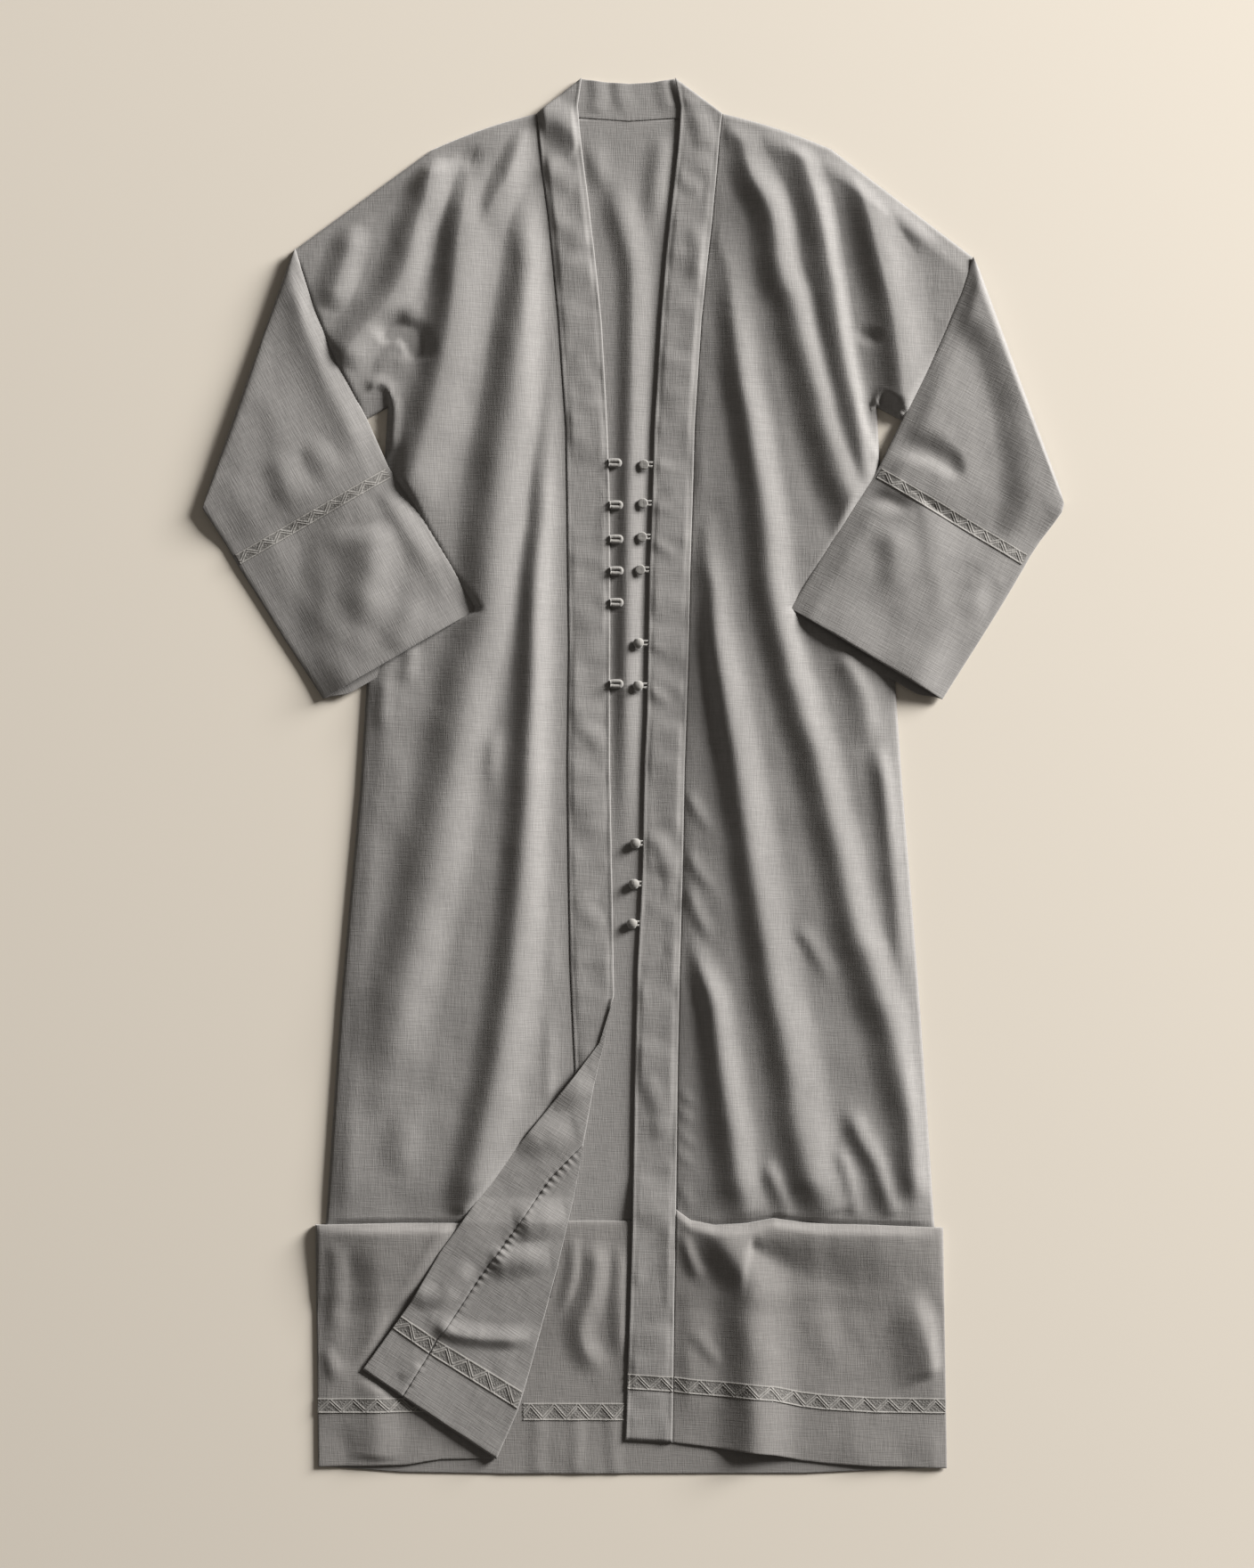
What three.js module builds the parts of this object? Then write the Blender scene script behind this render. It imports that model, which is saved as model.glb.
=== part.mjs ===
import * as THREE from 'three';

// An open-front linen abaya laid flat on its back, in millimetres. +Z is up from the surface it
// lies on, +Y points to the neck and +X to the wearer's left. The origin is at the middle of the
// outline, on the surface. Each piece of cloth is a closed wall with its own thickness, lofted
// through rows of plan points, and soft folds lift it off what it lies on.

// ---- Driving dimensions ----
const CLOTH = 1.2; // one layer of linen
const BAND = 1.8; // the neck and front band, sewn double
const GAP = 0.3; // between neighbours at a seam, and between layers
const HALF_SPAN = 434.7; // half of the laid width, elbow fold to elbow fold
const HALF_LENGTH = 704.7; // half of the laid length, neck to hem
const TUCK_TOP = -451; // fold edge of the tuck across the skirt
const TUCK_DEPTH = 68; // how far the tuck's hidden layers reach down
const TUCK_THICK = 4.2; // the tuck's layers, pressed together
const TUCK_FALL = 80; // below the tuck the hem piece sinks over this length
const SLEEVE_THICK = 3.8; // forearm tube, pressed flat, with its slit inside
const SLEEVE_REST = 4.6; // underside of the forearm where it lies on the body
const CUFF_STEP = 7; // the cuff's lower edge shows this far beyond the upper edge
const BUTTON_RADIUS = 5;
const BUTTON_HEIGHT = 6;
const SHANK_WIDTH = 5;
const SHANK_HEIGHT = 2.4;
const LOOP_LENGTH = 12.5;
const LOOP_CORD = 1.8; // radius of the rolled cloth cord
const BORDER = 0.8; // raised woven border
const LINEN = 0x7c7a77;

const TUCK_BOTTOM = TUCK_TOP - TUCK_DEPTH;

// ---- Tables: one row for each section, with named columns ----
function table(columns, rows) {
  const names = columns.split(' ');
  return rows.map((row) => Object.fromEntries(names.map((name, i) => [name, row[i]])));
}

// Inner free edge and outer seam of the front bands, from the neck down.
const FREE_EDGE = table('y left right', [
  [704.7, -52, 42],
  [676, -56, 47.7],
  [654, -54, 46.5],
  [634, -52, 45],
  [587, -46, 39.6],
  [528, -39, 33],
  [460, -32, 27.5],
  [352, -26, 21],
  [282, -23.8, 19],
  [205, -23.2, 16],
  [64, -23.4, 13.5],
  [10, -23.4, 11],
  [-94, -21.6, 9],
  [-135, -20.7, 7],
  [-197, -19.8, 3.6],
  [-222, -19.4, 3.3],
  [-314, -41, 1],
  [-451, -66, -1],
  [-671, -129, -8],
]);

const BAND_SEAM = table('y left right', [
  [669, -97, 90],
  [644, -95, 87],
  [612, -92, 84.5],
  [564, -85.5, 80],
  [519, -81, 75],
  [461, -75.6, 69],
  [352, -68, 62],
  [278, -66.8, 60],
  [205, -66, 57.6],
  [131, -65, 56],
  [10, -66.6, 52],
  [-94, -65.5, 50],
  [-197, -63.5, 47],
  [-293, -59, 45],
  [-410, -59, 43.5],
  [-451, -66, 43],
  [-519, -83, 41.5],
  [-673, -132, 39.6],
]);

// Side seams, from the underarm to the bottom of the skirt's lowest layer.
const SIDE = table('y left right', [
  [372, -248, 246],
  [300, -252, 250],
  [200, -260, 257],
  [97, -269, 264.5],
  [-13, -276, 272],
  [-122, -286, 281],
  [-224, -295, 289],
  [-340, -303, 297],
  [-451, -310.5, 304],
  [-519, -315, 309],
]);

// Outer edges of the hem piece, below the tuck.
const HEM_SIDE = table('y left right', [
  [-453, -321, 313],
  [-600, -319, 315.5],
  [-700, -318, 317],
]);

// The lower front corner is turned back along this crease.
const TURN = table('y x', [
  [-222, -19.4],
  [-274.5, -31],
  [-319.5, -41],
  [-385, -53],
  [-434, -62],
  [-485, -74],
  [-534, -86],
  [-571.5, -96],
  [-630, -113],
  [-668, -127],
  [-689, -138],
]);

// Lines across the hem pieces: the tuck's fold edge, the border's upper edge and the hem.
const RIGHT_LINES = table('x tuck border hem', [
  [40, -435, -606, -673],
  [58, -448, -608, -675],
  [82, -453, -610, -678],
  [116, -451, -612, -682],
  [142, -446, -614.5, -685],
  [170, -450, -621, -691],
  [195, -452, -624, -694],
  [243, -453, -627, -697],
  [317, -456, -628, -699],
]);

const LEFT_LINES = table('x tuck border hem', [
  [-321, -453, -628, -697.5],
  [-230, -451, -627, -695.5],
  [-195, -451, -627, -690],
  [-138, -451, -626, -689],
  [-60, -451, -625, -689],
]);

const BACK_LINES = table('x tuck border hem', [
  [-318, -449, -633, -697],
  [-233, -449, -633, -703],
  [-136, -449, -633, -704.7],
  [171, -448, -633, -704.2],
  [220, -448, -633, -702],
  [317, -448, -633, -698],
]);

const SHOULDER_BOW = 3; // the shoulder line rises this much above a straight one

const BORDER_WIDTH = { left: 15.5, right: 16, back: 18 };

// Stations of the folded forearms, from the elbow fold to the cuff: the edge that faces the
// body and the outer edge. Two neighbouring stations are the border's own edges.
const SLEEVE_BORDER_STATION = 4;
const LEFT_FOREARM = table('innerX innerY outerX outerY', [
  [-341, 532, -HALF_SPAN, 269],
  [-322, 473, -428, 259],
  [-297, 414, -419, 245],
  [-268, 359, -410, 231],
  [-247, 312, -405, 222],
  [-241, 302, -399, 211.5],
  [-222, 277, -380, 182],
  [-196, 233, -355, 142],
  [-157.5, 168, -313, 77.5],
]);

const RIGHT_FOREARM = table('innerX innerY outerX outerY', [
  [343, 524, HALF_SPAN, 274.5],
  [331, 487, 432.5, 266],
  [309, 435, 424, 254],
  [277, 371, 411, 237],
  [248, 312, 401, 222],
  [242, 302, 395, 211],
  [222, 272, 375, 177],
  [198, 233, 352, 140],
  [158, 169, 312, 77],
]);

// Rows of the turned-back corner, from its tip to its hem: free edge, puckered seam, crease.
const CORNER = table('freeX freeY seamX seamY turnX turnY', [
  [-34, -269, -30, -272, -30, -272],
  [-58, -301, -40, -314, -40, -314],
  [-93, -344, -50, -371, -50, -371],
  [-121, -378, -83, -405, -59, -421],
  [-162, -434, -122, -461, -76, -494],
  [-196, -481.5, -157, -509, -92, -554],
  [-224, -530, -188, -556, -107.5, -611],
  [-234, -544, -198, -568, -110.5, -621],
  [-243, -557, -206, -583, -116, -639],
  [-273, -598.5, -233, -626, -138, -689],
]);
const CORNER_TIP = [-19.4, -222];
const CORNER_BORDER_ROW = 7;
const CORNER_SEAM_ROW = 2; // the seam comes out from under the crease at this row

// Underside of the turned-back corner, which climbs over the tuck.
const CORNER_REST = table('y z', [
  [-222, 4],
  [-330, 5],
  [-420, 8.2],
  [-530, 8.2],
  [-610, 4.4],
  [-690, 3.6],
]);

// Underside of the front bands: over the back band at the neck, and over the tuck.
const BAND_REST = table('y z', [
  [705, 3],
  [660, 2.2],
  [600, 1.5],
  [-400, 1.5],
  [-440, 5.1],
  [-525, 5.1],
  [-610, 1.5],
  [-700, 1.5],
]);

// Soft folds: the crest, how far the fold reaches to its left and right, and its height.
const FRONT_FOLDS = [
  {
    crest: [[-172, 585], [-184, 473], [-198, 391], [-220, 308]],
    left: 22,
    right: 40,
    height: 6.5,
  },
  {
    crest: [[-104, 555], [-119, 436], [-134, 332], [-151, 177], [-192, 6], [-233, -179], [-250, -270]],
    left: 28,
    right: 30,
    height: 6,
  },
  {
    crest: [[-84, 330], [-96, 194], [-110, 89], [-123, -76], [-146, -241], [-160, -380]],
    left: 28,
    right: 26,
    height: 6,
  },
  { crest: [[-202, 615], [-227, 545], [-258, 473], [-285, 430]], left: 34, right: 26, height: 5 },
  { crest: [[-110, 643], [-127, 607], [-150, 560]], left: 26, right: 26, height: 4 },
  {
    crest: [[96, 560], [108, 432], [123, 308], [149, 151], [186, 6], [221, -126], [263, -274]],
    left: 28,
    right: 28,
    height: 6,
  },
  { crest: [[108, 643], [146, 528], [170, 418], [199, 308], [220, 240]], left: 28, right: 26, height: 6 },
  { crest: [[174, 625], [194, 528], [208, 418], [238, 328]], left: 26, right: 24, height: 6 },
  { crest: [[218, 607], [246, 532], [263, 445], [268, 392]], left: 28, right: 36, height: 6 },
  {
    crest: [[74, 250], [83, 151], [103, 6], [132, -158], [164, -324], [178, -425]],
    left: 26,
    right: 34,
    height: 6,
  },
  { crest: [[75, -220], [100, -345], [110, -425]], left: 22, right: 24, height: 4.5 },
];

const BACK_FOLDS = [
  { crest: [[-10, 560], [4, 430], [3, 250], [-2, 40]], left: 16, right: 14, height: 2.6 },
];

const HEM_FOLDS = [
  { crest: [[122, -470], [128, -545], [124, -690]], left: 30, right: 26, height: 5 },
  { crest: [[196, -470], [210, -560], [224, -640]], left: 34, right: 34, height: 3.5 },
  { crest: [[292, -540], [300, -680]], left: 34, right: 20, height: 3 },
  { crest: [[-230, -480], [-238, -600]], left: 34, right: 34, height: 2.5 },
];

// ---- Small helpers ----
const lerp = (a, b, t) => a + (b - a) * t;

function smooth(from, to, value) {
  const t = THREE.MathUtils.clamp((value - from) / (to - from), 0, 1);
  return t * t * (3 - 2 * t);
}

// Value of a column where another column has the given value; the key column may rise or fall.
function lookUp(rows, key, column, value) {
  const rising = rows[rows.length - 1][key] > rows[0][key];
  const sorted = rising ? rows : [...rows].reverse();
  const after = sorted.findIndex((row) => row[key] >= value);
  if (after === 0) return sorted[0][column];
  if (after < 0) return sorted[sorted.length - 1][column];
  const a = sorted[after - 1];
  const b = sorted[after];
  return lerp(a[column], b[column], (value - a[key]) / (b[key] - a[key]));
}

const pointRow = (a, b, count, bow = 0) =>
  Array.from({ length: count + 1 }, (_, i) => {
    const t = i / count;
    return [lerp(a[0], b[0], t), lerp(a[1], b[1], t) + bow * Math.sin(Math.PI * t)];
  });

const FOLD_END = 60; // a fold fades out over this length past each end of its crest

// Height of the highest fold at a plan point.
function foldHeight(folds, x, y) {
  let height = 0;
  for (const { crest, left, right, height: full } of folds) {
    const top = crest[0][1];
    const bottom = crest[crest.length - 1][1];
    const fade = smooth(top + FOLD_END, top, y) * smooth(bottom - FOLD_END, bottom, y);
    const rows = crest.map(([crestX, crestY]) => ({ x: crestX, y: crestY }));
    const offset = x - lookUp(rows, 'y', 'x', y);
    const reach = offset < 0 ? left : right;
    const near = Math.max(0, 1 - Math.abs(offset) / reach);
    height = Math.max(height, full * fade * near * near * (3 - 2 * near));
  }
  return height;
}

// How far a plan point is outside an outline; 0 inside it.
function distanceOutside(outline, x, y) {
  let inside = false;
  let nearest = Infinity;
  outline.forEach(([ax, ay], i) => {
    const [bx, by] = outline[(i + 1) % outline.length];
    if (ay > y !== by > y && x < ax + ((y - ay) / (by - ay)) * (bx - ax)) inside = !inside;
    const along = ((x - ax) * (bx - ax) + (y - ay) * (by - ay)) / ((bx - ax) ** 2 + (by - ay) ** 2);
    const t = THREE.MathUtils.clamp(along, 0, 1);
    nearest = Math.min(nearest, Math.hypot(x - lerp(ax, bx, t), y - lerp(ay, by, t)));
  });
  return inside ? 0 : nearest;
}

// ---- Geometry builders ----
// Triangles that agree with each other are turned over together where they enclose the outside.
function geometryOf(positions, triangles) {
  const corner = (index) => new THREE.Vector3(...positions[index]);
  const volume = triangles.reduce((sum, [a, b, c]) =>
    sum + corner(a).dot(corner(b).cross(corner(c))), 0);
  const outward = volume > 0 ? triangles : triangles.map(([a, b, c]) => [a, c, b]);
  const geometry = new THREE.BufferGeometry();
  geometry.setAttribute('position', new THREE.Float32BufferAttribute(positions.flat(), 3));
  geometry.setIndex(outward.flat());
  geometry.computeVertexNormals();
  return geometry;
}

const abaya = new THREE.Group();

function add(name, geometry, color = LINEN) {
  const material = new THREE.MeshStandardMaterial({ color, roughness: 0.95, metalness: 0 });
  const mesh = new THREE.Mesh(geometry, material);
  mesh.name = name;
  abaya.add(mesh);
  return mesh;
}

// A closed wall of cloth over grids of plan points that share their common edges. base(x, y)
// is its underside and thick(x, y) its thickness; open edges are closed by upright walls.
function sheet(name, grids, base, thick = () => CLOTH) {
  const plan = [];
  const numbers = new Map();
  const numberOf = ([x, y]) => {
    const key = `${x.toFixed(3)} ${y.toFixed(3)}`;
    if (!numbers.has(key)) numbers.set(key, plan.push([x, y]) - 1);
    return numbers.get(key);
  };
  const faces = [];
  const addFace = (a, b, c) => {
    if (a === b || b === c || c === a) return;
    const [[ax, ay], [bx, by], [cx, cy]] = [plan[a], plan[b], plan[c]];
    const turn = (bx - ax) * (cy - ay) - (by - ay) * (cx - ax);
    faces.push(turn > 0 ? [a, b, c] : [a, c, b]);
  };
  for (const rows of grids) {
    for (let i = 0; i + 1 < rows.length; i += 1) {
      for (let j = 0; j + 1 < rows[i].length; j += 1) {
        const corners = [rows[i][j], rows[i][j + 1], rows[i + 1][j + 1], rows[i + 1][j]];
        const [a, b, c, d] = corners.map(numberOf);
        addFace(a, b, c);
        addFace(a, c, d);
      }
    }
  }
  const count = plan.length;
  const under = plan.map(([x, y]) => [x, y, base(x, y)]);
  const over = plan.map(([x, y]) => [x, y, base(x, y) + thick(x, y)]);
  const edges = new Set(faces.flatMap(([a, b, c]) => [`${a} ${b}`, `${b} ${c}`, `${c} ${a}`]));
  const triangles = [];
  for (const [a, b, c] of faces) {
    triangles.push([a + count, b + count, c + count], [a, c, b]);
    for (const [from, to] of [[a, b], [b, c], [c, a]]) {
      if (edges.has(`${to} ${from}`)) continue;
      triangles.push([from, to, to + count], [from, to + count, from + count]);
    }
  }
  return add(name, geometryOf([...under, ...over], triangles));
}

// A raised border: two rows of a panel's own points, moved out from its upper face.
function border(name, rows, top) {
  sheet(name, [rows], (x, y) => top(x, y) + GAP, () => BORDER);
}

// ---- Body panels ----
const SHOULDER_Y = 669; // where the band seam meets the shoulder
const ARM_ROWS = 7; // rows from the shoulder to the underarm
const PANEL_COLUMNS = 13;
const SLEEVE_COLUMNS = 7;
const BODY_ROWS = 12; // rows from the underarm to the bottom
const CHEST_Y = 352; // seam end of the lowest row that reaches the sleeve
const SEAM_LEVELS = [
  ...Array.from({ length: ARM_ROWS + 1 }, (_, i) => lerp(SHOULDER_Y, CHEST_Y, i / ARM_ROWS)),
  ...Array.from({ length: BODY_ROWS }, (_, i) => lerp(CHEST_Y, TUCK_BOTTOM, (i + 1) / BODY_ROWS)),
];

const ARMHOLE = {
  left: { top: [-204, 632], bottom: [-248, 372], elbow: LEFT_FOREARM[0] },
  right: { top: [200, 633], bottom: [246, 372], elbow: RIGHT_FOREARM[0] },
};

const outlineOf = (forearm) => [
  ...forearm.map((row) => [row.innerX, row.innerY]),
  ...forearm.map((row) => [row.outerX, row.outerY]).reverse(),
];
const LEFT_COVER = outlineOf(LEFT_FOREARM);
const RIGHT_COVER = outlineOf(RIGHT_FOREARM);
const CORNER_COVER = [
  CORNER_TIP,
  ...CORNER.map((row) => [row.freeX, row.freeY]),
  ...CORNER.map((row) => [row.turnX, row.turnY]).reverse(),
];
const CLEAR = 20; // folds are flat this near to what lies on them
const RISE = 70; // and at full height this far away

function underCover(x, y) {
  const covers = [LEFT_COVER, RIGHT_COVER, CORNER_COVER];
  const away = Math.min(...covers.map((cover) => distanceOutside(cover, x, y)));
  return smooth(CLEAR, RISE, away);
}

const SEAM_FLAT = 10; // cloth lies flat this near to the band seam
const EDGE_FLAT = 8; // and at the side seam

function frontBase(x, y) {
  const side = x < 0 ? 'left' : 'right';
  const fromSeam = Math.abs(x) - Math.abs(lookUp(BAND_SEAM, 'y', side, y));
  const toSide = Math.abs(lookUp(SIDE, 'y', side, y)) - Math.abs(x);
  const seamFade = smooth(0, SEAM_FLAT * 2, fromSeam);
  const sideFade = y < ARMHOLE[side].bottom[1] + 10 ? smooth(0, EDGE_FLAT * 3, toSide) : 1;
  const tuckFade = smooth(TUCK_TOP + 5, TUCK_TOP + 60, y);
  const lift = foldHeight(FRONT_FOLDS, x, y) * seamFade * sideFade * tuckFade * underCover(x, y);
  return CLOTH + GAP + lift;
}

// Rows from an inner edge to the armhole and on to the elbow fold, then from the inner edge to
// the side seam. The two grids share the armhole column.
function kimonoHalf(side, innerAt, shrink) {
  const { top, bottom, elbow } = ARMHOLE[side];
  const sign = side === 'left' ? -1 : 1;
  const elbowTop = [elbow.innerX - sign * shrink, elbow.innerY - shrink];
  const elbowBottom = [elbow.outerX - sign * shrink, elbow.outerY];
  const body = [];
  const sleeve = [];
  SEAM_LEVELS.forEach((y, i) => {
    if (i > ARM_ROWS) {
      const edge = lookUp(SIDE, 'y', side, y) - sign * shrink;
      body.push(pointRow(innerAt(y), [edge, y], PANEL_COLUMNS));
      return;
    }
    const t = i / ARM_ROWS;
    const armY = lerp(top[1] - shrink, bottom[1] + shrink, t);
    const arm = [lerp(top[0], bottom[0], t ** 1.5), armY];
    const fold = [lerp(elbowTop[0], elbowBottom[0], t), lerp(elbowTop[1], elbowBottom[1], t)];
    body.push(pointRow(innerAt(y), arm, PANEL_COLUMNS, SHOULDER_BOW * (1 - t)));
    sleeve.push(pointRow(arm, fold, SLEEVE_COLUMNS));
  });
  return [body, sleeve];
}

function frontPanel(side) {
  const sign = side === 'left' ? -1 : 1;
  const seamAt = (y) => [lookUp(BAND_SEAM, 'y', side, y) + sign * GAP, y];
  sheet(`front_${side}`, kimonoHalf(side, seamAt, 0), frontBase);
}

function backBase(x, y) {
  return foldHeight(BACK_FOLDS, x, y);
}

// The back is one piece, so both halves start on the middle line and share it. Its columns are
// closest together where it shows between the front bands.
function backPanel() {
  const shrink = 1.5;
  const neckY = 663.7;
  const neckDip = 3.3;
  const columns = 3;
  const narrowest = -200; // below this the middle strip keeps its width
  const grids = ['left', 'right'].flatMap((side) => {
    const edgeAt = (y) => [lookUp(FREE_EDGE, 'y', side, Math.max(y, narrowest)), Math.min(y, neckY)];
    const [body, sleeve] = kimonoHalf(side, edgeAt, shrink);
    const middle = body.map((row, i) => {
      const dip = i === 0 ? neckDip : 0;
      return pointRow([0, row[0][1] - dip], row[0], columns);
    });
    const ends = (rows) => rows.map((row) => [row[0], row[row.length - 1]]);
    return [middle, ends(body), ends(sleeve)];
  });
  sheet('back_panel', grids, backBase);
}

// ---- Bands ----
function bandBase(x, y) {
  return lookUp(BAND_REST, 'y', 'z', y);
}

// Rows of a front band from the slanting neck fold down: the height of the free edge and that
// of the seam. It meets the front panel at the same levels.
function bandRows(side, levels) {
  const rows = [[HALF_LENGTH, SHOULDER_Y], [676, 650], ...levels];
  return rows.map(([freeY, seamY]) => {
    const free = [lookUp(FREE_EDGE, 'y', side, freeY), freeY];
    const seam = [lookUp(BAND_SEAM, 'y', side, seamY), seamY];
    return pointRow(free, seam, 2);
  });
}

const levelRows = (bottom) =>
  SEAM_LEVELS.slice(1).filter((y) => y >= bottom).map((y) => [y, y]);

function leftBand() {
  const end = -380; // the band runs out under the turned-back corner
  sheet('band_left', [bandRows('left', levelRows(end))], bandBase, () => BAND);
}

function rightBand() {
  const below = [[-570, -570], [-603, -606], [-619, -622], [-670.5, -673]];
  const rows = bandRows('right', [...levelRows(TUCK_BOTTOM), ...below]);
  const borderRow = rows.length - 3;
  sheet('band_right', [rows], bandBase, () => BAND);
  border('border_band', rows.slice(borderRow, borderRow + 2), (x, y) => bandBase(x, y) + BAND);
}

function backBand() {
  const lower = [[-96, 669.3], [-53, 664.3], [-4, 661], [47, 664.4], [89, 669.3]];
  const upper = [[-52.5, 704], [-28, 700.5], [-4, 699], [20, 700.5], [41.5, 704]];
  const middle = lower.map(([x, y], i) => [lerp(x, upper[i][0], 0.5), lerp(y, upper[i][1], 0.5)]);
  sheet('band_back', [[upper, middle, lower]], () => 0, () => BAND);
}

// ---- Hem pieces below the tuck ----
const HEM_COLUMNS = { left: 8, right: 16 };

function hemLift(x, y) {
  return foldHeight(HEM_FOLDS, x, y) * underCover(x, y);
}

// The hem piece lies on the tuck's hidden layers, and falls from them to the back's hem piece.
const TUCK_UNDER = 2 * (CLOTH + GAP);
const LOW_TOP = 2 * CLOTH + GAP;
const ROUND = 4; // the fold edge is rounded over this length

function tuckRound(x, y) {
  const lines = x < 0 ? LEFT_LINES : RIGHT_LINES;
  return 1 - smooth(0, ROUND, lookUp(lines, 'x', 'tuck', x) - y);
}

function hemTop(x, y) {
  const onTuck = smooth(TUCK_BOTTOM - TUCK_FALL, TUCK_BOTTOM, y);
  const lift = hemLift(x, y) * (1 - onTuck);
  return lerp(LOW_TOP, TUCK_UNDER + TUCK_THICK, onTuck) + lift - 1.3 * tuckRound(x, y);
}

function hemBase(x, y) {
  return y < TUCK_BOTTOM - 1 ? hemTop(x, y) - CLOTH : TUCK_UNDER + tuckRound(x, y);
}

const hemThick = (x, y) => hemTop(x, y) - hemBase(x, y);

// Rows of a hem piece: tuck edge, tuck layers, fall, border and hem.
function hemRows(lines, columns, width, innerAt, outerAt) {
  const levels = [
    (x) => lookUp(lines, 'x', 'tuck', x),
    (x) => lookUp(lines, 'x', 'tuck', x) - ROUND,
    () => TUCK_TOP - 30,
    () => TUCK_BOTTOM,
    () => TUCK_BOTTOM - 6.5,
    () => TUCK_BOTTOM - 38,
    () => TUCK_BOTTOM - TUCK_FALL,
    (x) => lookUp(lines, 'x', 'border', x),
    (x) => lookUp(lines, 'x', 'border', x) - width,
    (x) => lookUp(lines, 'x', 'hem', x),
  ];
  return levels.map((level) => {
    const innerX = innerAt(level(0));
    const outerX = outerAt(level(0));
    return pointRow([innerX, 0], [outerX, 0], columns).map(([x]) => [x, level(x)]);
  });
}
const HEM_BORDER_ROW = 7;

function frontHem(side, lines, innerAt) {
  const outerAt = (y) => lookUp(HEM_SIDE, 'y', side, y);
  const rows = hemRows(lines, HEM_COLUMNS[side], BORDER_WIDTH[side], innerAt, outerAt);
  sheet(`hem_${side}`, [rows], hemBase, hemThick);
  border(`border_hem_${side}`, rows.slice(HEM_BORDER_ROW, HEM_BORDER_ROW + 2), hemTop);
}

// The back's hem piece lies on the surface. Between the fronts its tuck rests on the back.
const GAP_TUCK_THICK = 2.7;
const BACK_HEM_TOP = TUCK_BOTTOM - 8;

function backHemBase(x, y) {
  return (CLOTH + GAP) * smooth(BACK_HEM_TOP, TUCK_BOTTOM - 0.5, y);
}

function backHemThick(x, y) {
  return lerp(CLOTH, GAP_TUCK_THICK, smooth(BACK_HEM_TOP, TUCK_BOTTOM - 0.5, y));
}

function backHem() {
  const turnAt = (y) => lookUp(TURN, 'y', 'x', y) + 1.5;
  const shownFrom = -112;
  const shownTo = -9;
  const between = [-58, -34, shownTo, 12];
  const xs = [-317, -233, -150, shownFrom, turnAt(BACK_HEM_TOP), ...between, 40, 110, 200, 260, 313];
  const lineAt = (column) => (x) => lookUp(BACK_LINES, 'x', column, x);
  const row = (level, columns) => columns.map((x) => [x, level(x)]);
  const rows = [
    row(() => BACK_HEM_TOP, xs),
    row(lineAt('border'), xs),
    row((x) => lineAt('border')(x) - BORDER_WIDTH.back, xs),
    row(lineAt('hem'), xs),
  ];
  const tongue = [lineAt('tuck')(0), TUCK_TOP - 30, TUCK_BOTTOM, BACK_HEM_TOP].map((y) =>
    [turnAt(y), ...between].map((x) => [x, y]));
  sheet('hem_back', [tongue, rows], backHemBase, backHemThick);
  const shown = rows.slice(1, 3).map((points) =>
    points.filter(([x]) => x >= shownFrom && x <= shownTo));
  border('border_hem_back', shown, (x, y) => backHemBase(x, y) + backHemThick(x, y));
}

// ---- Turned-back corner of the left front ----
function cornerBase(x, y) {
  return lookUp(CORNER_REST, 'y', 'z', y);
}

function turnedCorner() {
  const bandRow = (row) => pointRow([row.freeX, row.freeY], [row.seamX, row.seamY], 2);
  const tip = [CORNER_TIP, CORNER_TIP, CORNER_TIP];
  const bandPart = [tip, ...CORNER.map(bandRow)];
  const panelPart = CORNER.slice(CORNER_SEAM_ROW).map((row, i) => {
    const start = [row.seamX + GAP, row.seamY - GAP];
    return pointRow(start, i === 0 ? start : [row.turnX, row.turnY], 4);
  });
  const top = (x, y) => cornerBase(x, y) + CLOTH;
  sheet('corner_band', [bandPart], cornerBase);
  sheet('corner_panel', [panelPart], cornerBase);
  const bandBorder = bandPart.slice(CORNER_BORDER_ROW + 1, CORNER_BORDER_ROW + 3);
  const panelFirst = CORNER_BORDER_ROW - CORNER_SEAM_ROW;
  border('border_corner_band', bandBorder, top);
  border('border_corner_panel', panelPart.slice(panelFirst, panelFirst + 2), top);
}

// ---- Folded forearms: flat tubes, open at the cuff ----
const RING_COLUMNS = 6;
const SEWN_END = 0.02; // the slit stops this share of the length short of the elbow fold

// Where the forearm reaches past both the upper sleeve and the body it sinks to the surface.
function sleeveRest(along, across) {
  const pastUpperSleeve = along - 0.5 * (1 - across);
  const pastBody = across - 1.42 * (along - 0.5);
  const sink = smooth(0.12, 0.4, Math.min(pastUpperSleeve, pastBody));
  return lerp(SLEEVE_REST, 0.6, sink);
}

function ring(station, along, inset, step) {
  const inner = new THREE.Vector2(station.innerX, station.innerY);
  const outer = new THREE.Vector2(station.outerX, station.outerY);
  const across = outer.clone().sub(inner).normalize();
  const down = new THREE.Vector2(-across.y, across.x);
  if (down.y > 0) down.negate();
  const round = SLEEVE_THICK / 2;
  const place = (t, lift, lower) => {
    const margin = lift === 0.5 ? inset : round;
    const from = inner.clone().addScaledVector(across, margin);
    const to = outer.clone().addScaledVector(across, -margin);
    const plan = from.lerp(to, t).addScaledVector(down, lower ? step : 0);
    const low = sleeveRest(along, t) + inset;
    return [plan.x, plan.y, lerp(low, low + SLEEVE_THICK - 2 * inset, lift)];
  };
  const points = [place(0, 0.5, false)];
  for (let i = 0; i <= RING_COLUMNS; i += 1) points.push(place(i / RING_COLUMNS, 1, false));
  points.push(place(1, 0.5, false));
  for (let i = RING_COLUMNS; i >= 0; i -= 1) points.push(place(i / RING_COLUMNS, 0, true));
  return points;
}

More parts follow.
